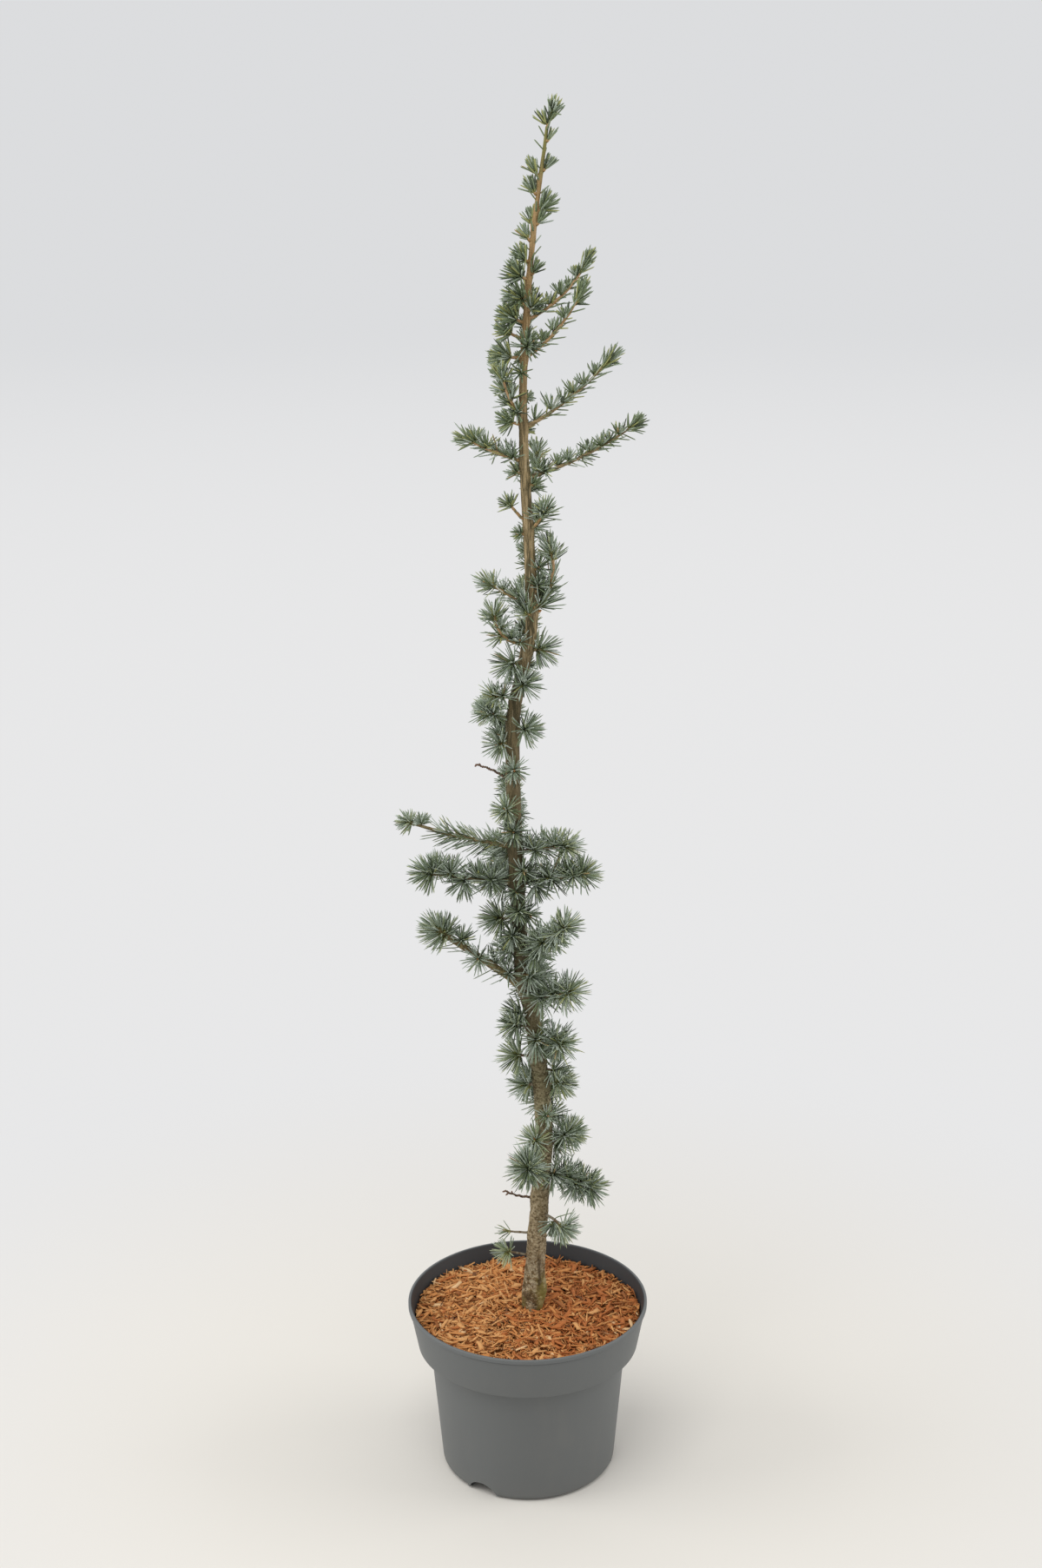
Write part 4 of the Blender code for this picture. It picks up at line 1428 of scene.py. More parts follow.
YOUNG, MIXED, SPURRED, TUFTED = Habit.YOUNG, Habit.MIXED, Habit.SPURRED, Habit.TUFTED
SHOOTS = (
    Shoot("left_1", 1.198, 185, 0.007, 60, 60, fullness=0.24, reach=1.3),
    Shoot("right_1", 1.170, 350, 0.007, 45, 55, fullness=0.42, reach=1.45, splay=62),
    Shoot("back_1", 1.148, 95, 0.020, 50, 65, fullness=0.30, reach=1.2),
    Shoot("front_1", 1.116, 216, 0.010, 20, 38, reach=1.50, fullness=0.62, splay=66),
    Shoot("right_2", 1.084, 5, 0.070, 25, 64, habit=YOUNG),
    Shoot("left_2", 1.068, 185, 0.014, 20, 30, reach=1.15, fullness=0.45, splay=70),
    Shoot("back_2", 1.062, 80, 0.062, 35, 60, 15, habit=YOUNG),
    Shoot("right_3", 1.053, 343, 0.076, 34, 64, -12, habit=YOUNG),
    Shoot("left_3", 1.006, 205, 0.040, 50, 78, 20, habit=MIXED),
    Shoot("back_3", 1.000, 120, 0.070, 30, 50, -15, habit=YOUNG),
    Shoot("right_4", 0.995, 0, 0.092, 28, 50, 0, 0.0034, YOUNG, True),
    Shoot("left_4", 0.966, 180, 0.050, 17, 28, habit=MIXED),
    Shoot("right_5", 0.952, 354, 0.102, 17, 37, 0, 0.0036, MIXED, True, 0.90),
    Shoot("back_4", 0.935, 75, 0.060, 25, 45, 10, habit=MIXED),
    Shoot("front_2", 0.908, 318, 0.024, 42, 55, habit=MIXED, reach=1.05),
    Shoot("back_5", 0.872, 95, 0.055, 25, 40, -10, habit=MIXED, reach=0.80, fullness=0.8),
    Shoot("right_6", 0.838, 350, 0.060, 48, 112, 0, 0.0036, Habit.HOOKED, tip_thickness=0.0024),
    Shoot("left_5", 0.838, 182, 0.041, 42, 26, habit=MIXED, reach=0.90, fullness=0.8),
    Shoot("left_6", 0.806, 205, 0.048, 8, 84, 30, habit=MIXED),
    Shoot("right_7", 0.800, 358, 0.008, 5, 5, reach=1.15, fullness=0.8),
    Shoot("back_6", 0.790, 80, 0.058, 20, 35, 15, habit=MIXED, reach=0.85, fullness=0.8),
    Shoot("front_3", 0.768, 290, 0.010, 35, 35, reach=1.1),
    Shoot("left_7", 0.758, 205, 0.018, 6, 14, habit=TUFTED, fullness=0.6, reach=0.85),
    Shoot("left_8", 0.738, 182, 0.020, 14, 20, habit=TUFTED, reach=0.95),
    Shoot("right_8", 0.728, 325, 0.010, 15, 20),
    Shoot("back_7", 0.715, 115, 0.060, 15, 30, -10, habit=SPURRED, reach=0.68, fullness=0.65),
    Shoot("front_4", 0.655, 245, 0.013, 25, 25, reach=0.85),
    Shoot("back_8", 0.640, 90, 0.080, 10, 20, 12, 0.0038, SPURRED, reach=0.62, fullness=0.60),
    Shoot("left_9", 0.622, 180, 0.094, 9, 20, 0, 0.0044, Habit.LONG, True, tip_thickness=0.0028),
    Shoot("right_9", 0.617, 357, 0.038, 6, 10, 0, 0.0034, SPURRED, fullness=0.85),
    Shoot("left_10", 0.588, 190, 0.077, 7, 14, 0, 0.0044, Habit.POMPOM, True, 1.22, 1.3, 0.05),
    Shoot("right_10", 0.587, 352, 0.057, 12, 10, 0, 0.0040, SPURRED, fullness=0.85),
    Shoot("back_9", 0.578, 110, 0.075, 12, 24, -12, 0.0038, SPURRED, reach=0.85, fullness=0.85),
    Shoot("front_5", 0.566, 272, 0.010, -10, -10, reach=0.8, fullness=0.6, shade=0.6),
    Shoot("left_11", 0.554, 187, 0.013, 0, 5, reach=1.1, shade=0.3),
    Shoot("right_11", 0.518, 318, 0.062, 38, 44, 0, 0.0038, SPURRED, fullness=0.85),
    Shoot("left_12", 0.492, 187, 0.092, 37, 37, 0, 0.0076, Habit.BARE, True, tip_thickness=0.0056),
    Shoot("right_12", 0.478, 326, 0.042, 8, 30, 0, 0.0040, SPURRED, reach=1.05, fullness=0.75),
    Shoot("back_10", 0.470, 80, 0.070, 20, 30, 15, 0.0040, SPURRED),
    Shoot("left_13", 0.448, 215, 0.016, 20, 20, shade=0.3),
    Shoot("right_13", 0.436, 328, 0.022, -8, 8, habit=SPURRED, fullness=0.7),
    Shoot("left_14", 0.417, 182, 0.013, 0, 0, reach=1.1),
    Shoot("right_14", 0.390, 340, 0.013, 5, 12),
    Shoot("back_11", 0.365, 100, 0.035, 15, 25, 10, habit=SPURRED),
    Shoot("right_15", 0.326, 2, 0.022, 42, 28, habit=SPURRED),
    Shoot("front_6", 0.308, 250, 0.034, 20, 22, habit=TUFTED, reach=1.36, fullness=2.1),
    Shoot("right_16", 0.297, 0, 0.042, -14, -32, 0, 0.0034, SPURRED, shade=0.10),
    Shoot("right_17", 0.257, 318, 0.022, 5, -46, habit=TUFTED, reach=1.08, fullness=0.85, splay=66),
    Shoot("left_15", 0.236, 182, 0.021, 5, 8, 0, 0.0024, reach=0.65, fullness=0.16, shade=0.3, splay=60),
)
SPUR_FIELDS = "height azimuth length foot_rise tip_rise reach fullness shade splay thickness".split()
# Short spurs on the trunk that have no solid of their own
SPUR_ROWS = (
    (1.226, 350, 0.003, 55, 65, 1.2, 0.08), (1.203, 5, 0.004, 50, 60, 1.25, 0.20),
    (1.184, 190, 0.005, 55, 65, 1.3, 0.26), (1.160, 340, 0.005, 45, 60, 1.1, 0.20),
    (1.147, 185, 0.006, 50, 60, 1.1, 0.22), (1.130, 204, 0.007, 35, 55, 1.25, 0.42, 0.0, 56),
    (1.120, 325, 0.005, 45, 60, 1.00, 0.22, 0.0, 52), (1.100, 228, 0.009, 5, 26, 1.45, 0.62, 0.0, 70),
    (1.091, 318, 0.007, 30, 55, 1.20, 0.45, 0.0, 62), (1.081, 190, 0.010, 22, 34, 1.40, 1.0, 0.0, 82),
    (1.052, 190, 0.013, 0, 12, 1.35, 0.9, 0.0, 84), (1.060, 290, 0.007, 30, 30, 1.25, 0.8, 0.0, 92),
    (1.040, 250, 0.006, 10, 20, 0.8, 0.35, 0.0, 80), (0.997, 190, 0.010, 10, 25, 1.0, 0.6),
    (0.955, 200, 0.005, 20, 30, 0.75, 0.30), (0.944, 345, 0.005, 40, 50, 0.75, 0.25),
    (0.916, 202, 0.020, 48, 50, 0.8, 0.5), (0.903, 195, 0.003, 10, 10, 0.6, 0.4, 0.5),
    (0.872, 335, 0.006, 30, 60, 0.8, 0.4, 0.8), (0.852, 325, 0.010, 70, 85, 0.8, 0.5, 0.4),
    (0.846, 15, 0.006, 45, 65, 1.30, 0.35, 0.0, 52), (0.842, 205, 0.006, 45, 60, 1.35, 0.35, 0.0, 52),
    (0.838, 335, 0.007, 30, 45, 1.30, 0.40, 0.0, 56), (0.832, 245, 0.006, 40, 55, 1.20, 0.35, 0.0, 56),
    (0.790, 215, 0.010, 0, -10, 1.2, 0.8), (0.716, 205, 0.008, 0, 0, 1.0, 0.7),
    (0.693, 275, 0.007, 10, 10, 0.8, 0.8), (0.637, 265, 0.006, 10, 10, 0.9, 1.0, 0.5),
    (0.600, 300, 0.008, 10, 20, 0.85, 0.6, 0.3), (0.583, 262, 0.006, -20, -30, 0.75, 0.4, 0.7),
    (0.560, 312, 0.007, 0, -10, 0.8, 0.6, 0.6), (0.540, 236, 0.007, 0, 0, 0.9, 0.8, 0.4),
    (0.523, 195, 0.007, 10, 10, 0.9), (0.500, 300, 0.007, 10, 10, 1.0, 0.8),
    (0.461, 200, 0.006, 0, 0, 1.0, 1.0, 0.5), (0.439, 275, 0.007, -30, -40, 1.1, 0.6),
    (0.428, 350, 0.010, 5, 5), (0.403, 350, 0.009, -5, -10, 1.0, 0.7),
    (0.388, 190, 0.008, 5, 5, 1.0, 0.8), (0.359, 285, 0.006, 20, 20, 0.65, 0.5),
    (0.328, 245, 0.016, 40, 50, 1.0, 0.8), (0.214, 195, 0.022, 22, 14, 0.80, 0.50, 0.0, 0.0, 0.0024),
)
SPURS = tuple(Shoot("spur", **dict(zip(SPUR_FIELDS, row))) for row in SPUR_ROWS)
DEAD_TWIGS = (
    Shoot("dead_twig_upper", 0.684, 180, 0.030, 38, 12, 0, 0.0026),
    Shoot("dead_twig_lower", 0.273, 182, 0.026, 0, 32, 0, 0.0028),
)


# The share of each tone in a spray low in the crown, how it changes by the top, and in full shade
LOW_TONES = {
    Tone.DEEP: 0.09, Tone.GREEN: 0.19, Tone.SEA: 0.26, Tone.BLUE: 0.28, Tone.PALE: 0.20, Tone.DRY: 0.005,
}
TOP_CHANGE = {Tone.DEEP: 0.01, Tone.GREEN: 0.36, Tone.SEA: -0.12, Tone.BLUE: -0.22, Tone.PALE: -0.17}
SHADED_TONES = {Tone.DEEP: 0.45, Tone.GREEN: 0.35, Tone.SEA: 0.20}
# The tone of a needle's root, where it isn't the needle's own
ROOT_TONES = {Tone.SEA: Tone.GREEN, Tone.BLUE: Tone.SEA, Tone.PALE: Tone.BLUE, Tone.FRESH: Tone.LIME}


@dataclass
class Needle:
    """A needle's make: slim, a little flat, thickest in its middle, with a fine tip."""

    radius: float = 0.00071
    flatness: float = 0.75
    stations: tuple[float, ...] = (0.0, 0.24, 0.88)
    girths: tuple[float, ...] = (0.62, 1.0, 0.78)
    sides: int = 4

    def points(self, roots: Places, lines: Places, bends: Places, lengths: Places, girth: float) -> Places:
        """The corners of many needles.

        Args:
            roots: where each starts.
            lines: the direction each starts in.
            bends: how each curves by its tip, as a share of its length.
            lengths: how long each is.
            girth: how much thicker than usual they are.

        Returns:
            The corners, by needle and corner.
        """
        side, up = across(lines)
        rings = []
        for station, share in zip(self.stations, self.girths):
            centre = roots + lengths[:, None] * (lines * station + bends * station**2)
            for corner in range(self.sides):
                angle = math.tau * corner / self.sides
                offset = math.cos(angle) * side + self.flatness * math.sin(angle) * up
                rings.append(centre + self.radius * girth * share * offset)
        rings.append(roots + lengths[:, None] * (lines + bends))
        return np.stack(rings, axis=1)


@dataclass
class Crown:
    """The crown: stems, spurs, buds and needles on every shoot.

    lengths, girths, spreads and closings are tables over the height: the needles' length, how
    much thicker than usual they are, and how far a rosette's outer and inmost ones lean.
    """

    trunk: Trunk
    rng: np.random.Generator
    needle: Needle = field(default_factory=Needle)
    stem_sides: int = 8
    stem_step: float = 0.0022
    leader_length: float = 0.014
    grown_length: float = 0.012
    node_height: float = 0.838
    node_buds: int = 6
    line_steps: int = 64
    lengths: tuple[Span, ...] = ((0.20, 0.0204), (0.75, 0.0192), (1.10, 0.0125), (1.26, 0.0100))
    girths: tuple[Span, ...] = ((0.90, 1.0), (1.10, 1.28))
    spreads: tuple[Span, ...] = ((0.82, 104.0), (1.00, 78.0), (1.14, 46.0))
    closings: tuple[Span, ...] = ((0.80, 20.0), (1.10, 8.0))
    spur_thickness: float = 0.0023
    spur_length: Span = (0.0012, 0.0034)
    spur_girths: tuple[float, ...] = (0.8, 0.75, 1.0, 0.85, 0.7)
    bud_shares: tuple[float, ...] = (0.0, 0.25, 0.55, 0.82, 1.0)
    bud_girths: tuple[float, ...] = (0.55, 0.95, 1.0, 0.62, 0.12)
    bud_girth: float = 0.34
    peg_sides: int = 6
    spur_bud: Span = (0.0016, 0.0028)
    tip_bud: Span = (0.0028, 0.0044)
    node_bud: Span = (0.0034, 0.0050)
    rosette_width: float = 0.0009
    rosette_depth: float = 0.0016
    leader_foot: float = 1.12
    leader_spacing: float = 0.0050
    leader_needles: Span = (0.0090, 0.0125)
    back_spurs: tuple[float, ...] = (0.34, 1.12, 0.034)
    bough_sides: int = 20
    bough_step: float = 0.0011
    bough_relief: float = 0.00022
    bough_flare: float = 0.006
    twig_sides: int = 8
    twig_steps: int = 30
    twig_sway: float = 0.00035
    twig_stubs: tuple[float, ...] = (0.35, 0.55, 0.72, 0.86, 0.97)
    stub_length: Span = (0.0022, 0.0038)
    stub_radii: tuple[float, ...] = (0.0007, 0.0009, 0.0008, 0.0004)
    pieces: list[Bundle] = field(default_factory=list)
    stems: Bundle = field(default_factory=lambda: Bundle("twigs", "bark", Wood))
    spurs: Bundle = field(default_factory=lambda: Bundle("spurs_and_buds", "bark", Wood))

    def needle_length(self, height: float) -> float:
        """How long the needles are at a height."""
        return float(read_table(height, self.lengths))

    def shoot_foot(self, shoot: Shoot) -> Places:
        """Find where a shoot leaves the trunk.

        Args:
            shoot: the shoot.

        Returns:
            A place a little inside the trunk's skin.
        """
        if shoot.is_leader:
            return self.trunk.middle(shoot.height) - np.array([0.0, 0.0, 0.001])
        inset = 0.75 * self.trunk.radius(shoot.height)
        return self.trunk.middle(shoot.height) + inset * heading(shoot.azimuth, 0.0)

    def shoot_line(self, shoot: Shoot, distances: Places) -> tuple[Places, Places]:
        """The places and directions along a shoot's middle line.

        Args:
            shoot: the shoot.
            distances: how far from the trunk's skin, in order.

        Returns:
            The places, and the unit directions.
        """
        start = self.shoot_foot(shoot)
        gap = 0.25 * self.trunk.radius(shoot.height)
        steps = np.linspace(0.0, 1.0, self.line_steps + 1)
        ways = np.array([shoot.heading_at(share) for share in steps])
        moves = (ways[1:] + ways[:-1]) / 2 * shoot.length / self.line_steps
        line = start + np.concatenate([np.zeros((1, 3)), np.cumsum(moves, axis=0)])
        if not shoot.is_leader:
            line = line + gap * heading(shoot.azimuth, 0.0)
        shares = np.asarray(distances) / shoot.length
        places = np.stack([np.interp(shares, steps, line[:, axis]) for axis in range(3)], axis=-1)
        directions = np.stack([np.interp(shares, steps, ways[:, axis]) for axis in range(3)], axis=-1)
        return places, normalised(directions)

    def rings_of(self, shoot: Shoot, steps: int, sides: int, sunk: float = 0.0) -> tuple[Places, ...]:
        """A shoot's rings before they are roughened.

        Args:
            shoot: the shoot.
            steps: how many steps there are from the first ring to the last.
            sides: how many corners a ring has.
            sunk: how deep the first one sits, as a share of the trunk's radius.

        Returns:
            Their shares of the length, middles, directions and radii.
        """
        shares = np.linspace(0.0, 1.0, steps + 1)
        middles, directions = self.shoot_line(shoot, shares * shoot.length)
        middles[0] -= sunk * self.trunk.radius(shoot.height) * heading(shoot.azimuth, 0.0)
        return shares, middles, directions, np.repeat(shoot.radius(shares)[:, None], sides, axis=1)

    def wood_tones(self, shoot: Shoot, shares: Places) -> Places:
        """The finish of each station of a stem: tan where young, brown and grey where old.

        Args:
            shoot: the stem's shoot.
            shares: the stations' shares of its length.

        Returns:
            The finishes' numbers.
        """
        age = 1.15 - shares * 0.75 - (shoot.height - 0.45) * 1.1 + self.rng.normal(0, 0.16, len(shares))
        woods = indices(Wood.TAN, Wood.HONEY, Wood.OLIVE, Wood.BROWN, Wood.GREY)
        return woods[np.clip((age * 3.4).astype(int), 0, len(woods) - 1)]

    def add_stem(self, shoot: Shoot) -> None:
        """Add a shoot's stem, with leaf cushions on its skin.

        Args:
            shoot: the shoot.
        """
        steps = max(3, round(shoot.length / self.stem_step))
        sunk = 0.0 if shoot.is_leader else 0.4
        shares, middles, directions, radii = self.rings_of(shoot, steps, self.stem_sides, sunk)
        radii *= 1 + self.rng.normal(0, 0.07, radii.shape)
        radii[0] *= 1.25
        radii[-1] *= 0.6
        tones = self.wood_tones(shoot, shares)
        dealt = np.append(np.repeat(tones[:-1], self.stem_sides), [tones[0], tones[-1]])
        self.stems.add_tube(middles, directions, radii, dealt)

    def add_spur(self, start: Places, end: Places) -> None:
        """Add the knobbly peg of a short spur.

        Args:
            start: its foot, inside the limb that carries it.
            end: its top.
        """
        stations = len(self.spur_girths)
        middles = start + np.linspace(0, 1, stations)[:, None] * (end - start)
        girths = np.array(self.spur_girths) * self.spur_thickness / 2
        radii = girths[:, None] * (1 + self.rng.normal(0, 0.08, (stations, self.peg_sides)))
        wood = self.rng.choice(indices(Wood.BROWN, Wood.OLIVE, Wood.DARK))
        self.spurs.add_tube(middles, normalised(end - start), radii, wood)

    def add_bud(self, centre: Places, axis: Places, size: float) -> None:
        """Add an ovoid bud.

        Args:
            centre: its foot.
            axis: where it points.
            size: its length.
        """
        middles = centre + (np.array(self.bud_shares) * size)[:, None] * axis
        girths = np.array(self.bud_girths) * self.bud_girth * size
        radii = np.repeat(girths[:, None], self.peg_sides, axis=1)
        wood = self.rng.choice(indices(Wood.BUD, Wood.HONEY, Wood.TAN))
        self.spurs.add_tube(middles, axis, radii, wood)

    def tones_for(self, height: float, count: int, fresh: float, shade: float) -> Places:
        """Deal needles their colours: a spray leans to one of them, and fresh ones start yellow-green.

        Args:
            height: the spray's height.
            count: how many needles it has.
            fresh: from 0 on old wood to 1 at a growing tip.
            shade: from 0 in the light to 1 deep inside the crown.

        Returns:
            The finish numbers of each needle's root and of the rest of it.
        """
        young = float(np.clip((height - 0.74) / 0.36, 0, 1))
        weights = by_option(Tone, LOW_TONES) + young * by_option(Tone, TOP_CHANGE)
        weights[index_of(Tone.LIME)] = 0.010 + 0.03 * fresh**4 + 0.34 * (fresh * young) ** 2
        weights[index_of(Tone.FRESH)] = 0.42 * fresh**4 * (1 - young)
        weights *= self.rng.uniform(0.4, 1.6, len(weights))
        weights /= weights.sum()
        shaded = by_option(Tone, SHADED_TONES)
        tones = self.rng.choice(len(weights), count, p=weights + shade * (shaded - weights))
        roots = indices(*(ROOT_TONES.get(tone, tone) for tone in Tone))[tones]
        roots[self.rng.random(count) < 0.9 * fresh**2 * (1 - shade)] = index_of(Tone.LIME)
        return np.stack([roots, tones], axis=1)

    def add_needles(
        self, roots: Places, lines: Places, lengths: Places, tones: Places, bends: Places
    ) -> None:
        """Add needles, leaving out any that would pass through the trunk.

        Args:
            roots: where each starts.
            lines: each one's direction.
            lengths: each one's length.
            tones: the finish numbers of each one's root and of the rest of it.
            bends: how each curves by its tip.
        """
        clear = np.ones(len(roots), dtype=bool)
        for share in (0.35, 0.6, 0.8, 1.0):
            along = roots + lengths[:, None] * (lines * share + bends * share**2)
            clear &= self.trunk.is_clear(along, self.needle.radius)
        roots, lines, lengths, tones, bends = (item[clear] for item in (roots, lines, lengths, tones, bends))
        if not len(roots):
            return
        sides = self.needle.sides
        faces = tube_faces(len(self.needle.stations), sides, pointed=True)
        dealt = np.repeat(tones[:, 1:], len(faces), axis=1)
        dealt[:, :sides] = tones[:, :1]
        girth = float(read_table(roots[0, 2], self.girths))
        self.pieces[-1].add(self.needle.points(roots, lines, bends, lengths, girth), faces, dealt)

    def spread(self, shoot: Shoot, height: float) -> float:
        """How far a rosette's outer needles lean from its axis: upright when young, flat when old."""
        return shoot.splay or float(read_table(height, self.spreads))

    def closing(self, height: float) -> float:
        """How far a rosette's inmost needles lean from its axis."""
        return float(read_table(height, self.closings))

    def spiral(self, directions: Places, count: int, jitter: float, whirl: float = 0.0) -> Places:
        """Directions that wind round a line, each a golden angle after the last.

        Args:
            directions: the line's one direction, or one for each place on it.
            count: how many there are.
            jitter: how far each strays, in radians.
            whirl: how far all may be turned together.

        Returns:
            The outward directions.
        """
        angle = GOLDEN_TURN * np.arange(count) + self.rng.uniform(-jitter, jitter, count)
        if whirl:
            angle = angle + self.rng.uniform(0, whirl)
        side, up = across(directions)
        return np.cos(angle)[:, None] * side + np.sin(angle)[:, None] * up

    def leaning(self, directions: Places, outward: Places, degrees: Places) -> Places:
        """Directions that lean outwards from a line by so many degrees."""
        lean = np.radians(degrees)[:, None]
        return np.cos(lean) * directions + np.sin(lean) * outward

    def add_rosette(
        self, shoot: Shoot, centre: Places, axis: Places, reach: float, count: int, fresh: float
    ) -> None:
        """Add a rosette of needles that spread from one point.

        Args:
            shoot: the shoot that carries it.
            centre: the point.
            axis: where the rosette faces.
            reach: how long its needles are.
            count: how many there are.
            fresh: how fresh their colours are.
        """
        rng = self.rng
        share = (np.arange(count) + 0.5) / count
        outward = self.spiral(axis, count, 0.3, math.tau)
        widest, inmost = self.spread(shoot, centre[2]), self.closing(centre[2])
        degrees = inmost + (widest - inmost) * share**0.72 + rng.normal(0, 8, count)
        lines = normalised(self.leaning(axis, outward, degrees) + rng.normal(0, 0.07, (count, 3)))
        roots = centre + self.rosette_width * (0.3 + share)[:, None] * outward
        roots = roots - self.rosette_depth * share[:, None] * axis
        lengths = reach * rng.uniform(0.84, 1.07, count) * (0.80 + 0.20 * np.minimum(1, 1.8 * share))
        bends = rng.uniform(0.05, 0.38, count)[:, None] * axis + rng.normal(0, 0.06, (count, 3))
        self.add_needles(roots, lines, lengths, self.tones_for(centre[2], count, fresh, shoot.shade), bends)

    def add_tuft(self, shoot: Shoot, growth: Growth) -> None:
        """Add the needles that close over a shoot's tip.

        Args:
            shoot: the shoot.
            growth: how many and how long they are.
        """
        rng = self.rng
        count = round(growth.tuft * shoot.fullness)
        share = (np.arange(count) + 0.5) / count
        run = min(growth.tuft_run, 0.7 * shoot.length)
        places, directions = self.shoot_line(shoot, shoot.length - run * (1 - share))
        outward = self.spiral(directions, count, 0.3)
        height = places[-1, 2]
        widest, inmost = growth.tuft_open * self.spread(shoot, height), self.closing(height)
        degrees = widest - (widest - inmost) * share**1.3 + rng.normal(0, 8, count)
        lines = normalised(self.leaning(directions, outward, degrees) + rng.normal(0, 0.06, (count, 3)))
        reach = self.needle_length(height) * shoot.reach * growth.tuft_reach
        lengths = reach * rng.uniform(0.84, 1.06, count) * (1.0 - 0.22 * share)
        bends = rng.uniform(0.02, 0.26, count)[:, None] * directions + rng.normal(0, 0.05, (count, 3))
        roots = places + 0.6 * shoot.radius(1.0) * outward
        fresh = 0.95 if shoot.length > self.grown_length else 0.65
        self.add_needles(roots, lines, lengths, self.tones_for(height, count, fresh, shoot.shade), bends)
        if rng.random() < 0.8:
            self.add_bud(places[-1], directions[-1], rng.uniform(*self.tip_bud))

    def add_singles(self, shoot: Shoot, growth: Growth) -> None:
        """Add the single needles that spiral up a shoot.

        Args:
            shoot: the shoot.
            growth: where they stand.
        """
        rng = self.rng
        start, end = (share * shoot.length for share in growth.singles)
        count = int((end - start) / growth.spacing)
        if count < 1:
            return
        share = (np.arange(count) + rng.uniform(0.2, 0.8, count)) / count
        places, directions = self.shoot_line(shoot, start + (end - start) * share)
        outward = self.spiral(directions, count, 0.4)
        degrees = growth.lean + 8 - 16 * share + rng.normal(0, 9, count)
        lines = self.leaning(directions, outward, degrees)
        reach = np.array([self.needle_length(height) for height in places[:, 2]])
        lengths = reach * shoot.reach * rng.uniform(0.66, 1.04, count)
        bends = rng.uniform(0.0, 0.34, count)[:, None] * directions + rng.normal(0, 0.05, (count, 3))
        roots = places + (0.7 * shoot.radius(share))[:, None] * outward
        tones = self.tones_for(places[:, 2].mean(), count, 0.55, shoot.shade)
        self.add_needles(roots, lines, lengths, tones, bends)

    def add_rosettes(self, shoot: Shoot, growth: Growth) -> None:
        """Add the short spurs along a shoot, each with its rosette.

        Args:
            shoot: the shoot.
            growth: where they stand.
        """
        rng = self.rng
        start, end = (share * shoot.length for share in growth.rosettes)
        count = round((end - start) / growth.pitch) + 1 if end > start else 0
        turn = rng.uniform(0, math.tau)
        for number in range(count):
            distance = start + (end - start) * (number + rng.uniform(-0.25, 0.25)) / max(1, count - 1)
            distance = min(max(distance, 0.05 * shoot.length), shoot.length)
            places, directions = self.shoot_line(shoot, np.array([distance]))
            side, up = across(directions[0])
            angle = turn + GOLDEN_TURN * number + rng.uniform(-0.4, 0.4)
            outward = math.cos(angle) * side + math.sin(angle) * up
            outward = outward + np.array([0.0, 0.0, growth.upward])
            outward = normalised(outward - outward.dot(directions[0]) * directions[0])
            share = distance / shoot.length
            axis = normalised(outward + growth.forward * directions[0] + np.array([0.0, 0.0, 0.2]))
            top = places[0] + outward * shoot.radius(share) + axis * rng.uniform(*self.spur_length)
            self.add_spur(places[0], top)
            reach = self.needle_length(top[2]) * shoot.reach * growth.rosette_reach
            reach *= rng.uniform(0.84, 1.08) * (1.04 - 0.10 * share)
            needles = round(growth.needles * shoot.fullness * rng.uniform(0.75, 1.2))
            self.add_rosette(shoot, top, axis, reach, needles, 0.25 + 0.5 * share)
            if rng.random() < 0.45:
                self.add_bud(top, axis, rng.uniform(*self.spur_bud))

    def grow(self, shoot: Shoot, node: str = "") -> None:
        """Clothe one shoot.

        Args:
            shoot: the shoot.
            node: the solid that it stands for, if it has one.
        """
        if not self.pieces or self.pieces[-1].triangles > FULL_PIECE:
            self.pieces.append(Bundle(f"needles_{len(self.pieces) + 1}", "foliage", Tone))
        if node:
            self.pieces[-1].stands_for.append(node)
        growth = shoot.habit.value
        if not shoot.bough:
            self.add_stem(shoot)
        self.add_rosettes(shoot, growth)
        self.add_singles(shoot, growth)
        self.add_tuft(shoot, growth)

    def grow_leader(self) -> None:
        """Clothe the trunk's tip and the leader on it."""
        trunk = self.trunk
        length = self.leader_length
        leader = Shoot("leader", trunk.tip(), 20, length, 68, 74, 0, 0.0028, YOUNG, reach=1.35, fullness=0.8)
        self.grow(leader, "foliage_leader")
        rng = self.rng
        heights = np.arange(self.leader_foot, trunk.tip(), self.leader_spacing)
        count = len(heights)
        middles = np.array([trunk.middle(height) for height in heights])
        angle = (GOLDEN_TURN * np.arange(count) + rng.uniform(-0.4, 0.4, count))[:, None]
        outward = np.concatenate([np.cos(angle), np.sin(angle), np.zeros_like(angle)], axis=1)
        lines = self.leaning(np.array([0.0, 0.0, 1.0]), outward, rng.uniform(28, 50, count))
        roots = middles + (0.9 * trunk.radius(heights))[:, None] * outward
        lengths = rng.uniform(*self.leader_needles, count)
        tones = self.tones_for(trunk.tip(), count, 0.8, 0.0)
        self.add_needles(roots, lines, lengths, tones, 0.05 * outward)

    def grow_back_spurs(self) -> None:
        """Scatter short spurs over the trunk's back, as thick as on its front."""
        rng = self.rng
        for height in np.arange(*self.back_spurs):
            place = height + rng.uniform(-0.008, 0.008)
            rise = rng.uniform(-5, 35)
            length = rng.uniform(0.005, 0.010)
            thin = float(np.interp(place, (0.50, 0.62), (0.95, 0.62)))
            azimuth = rng.uniform(50, 135)
            self.grow(Shoot("spur", place, azimuth, length, rise, rise + 10, reach=thin, fullness=0.8 * thin))

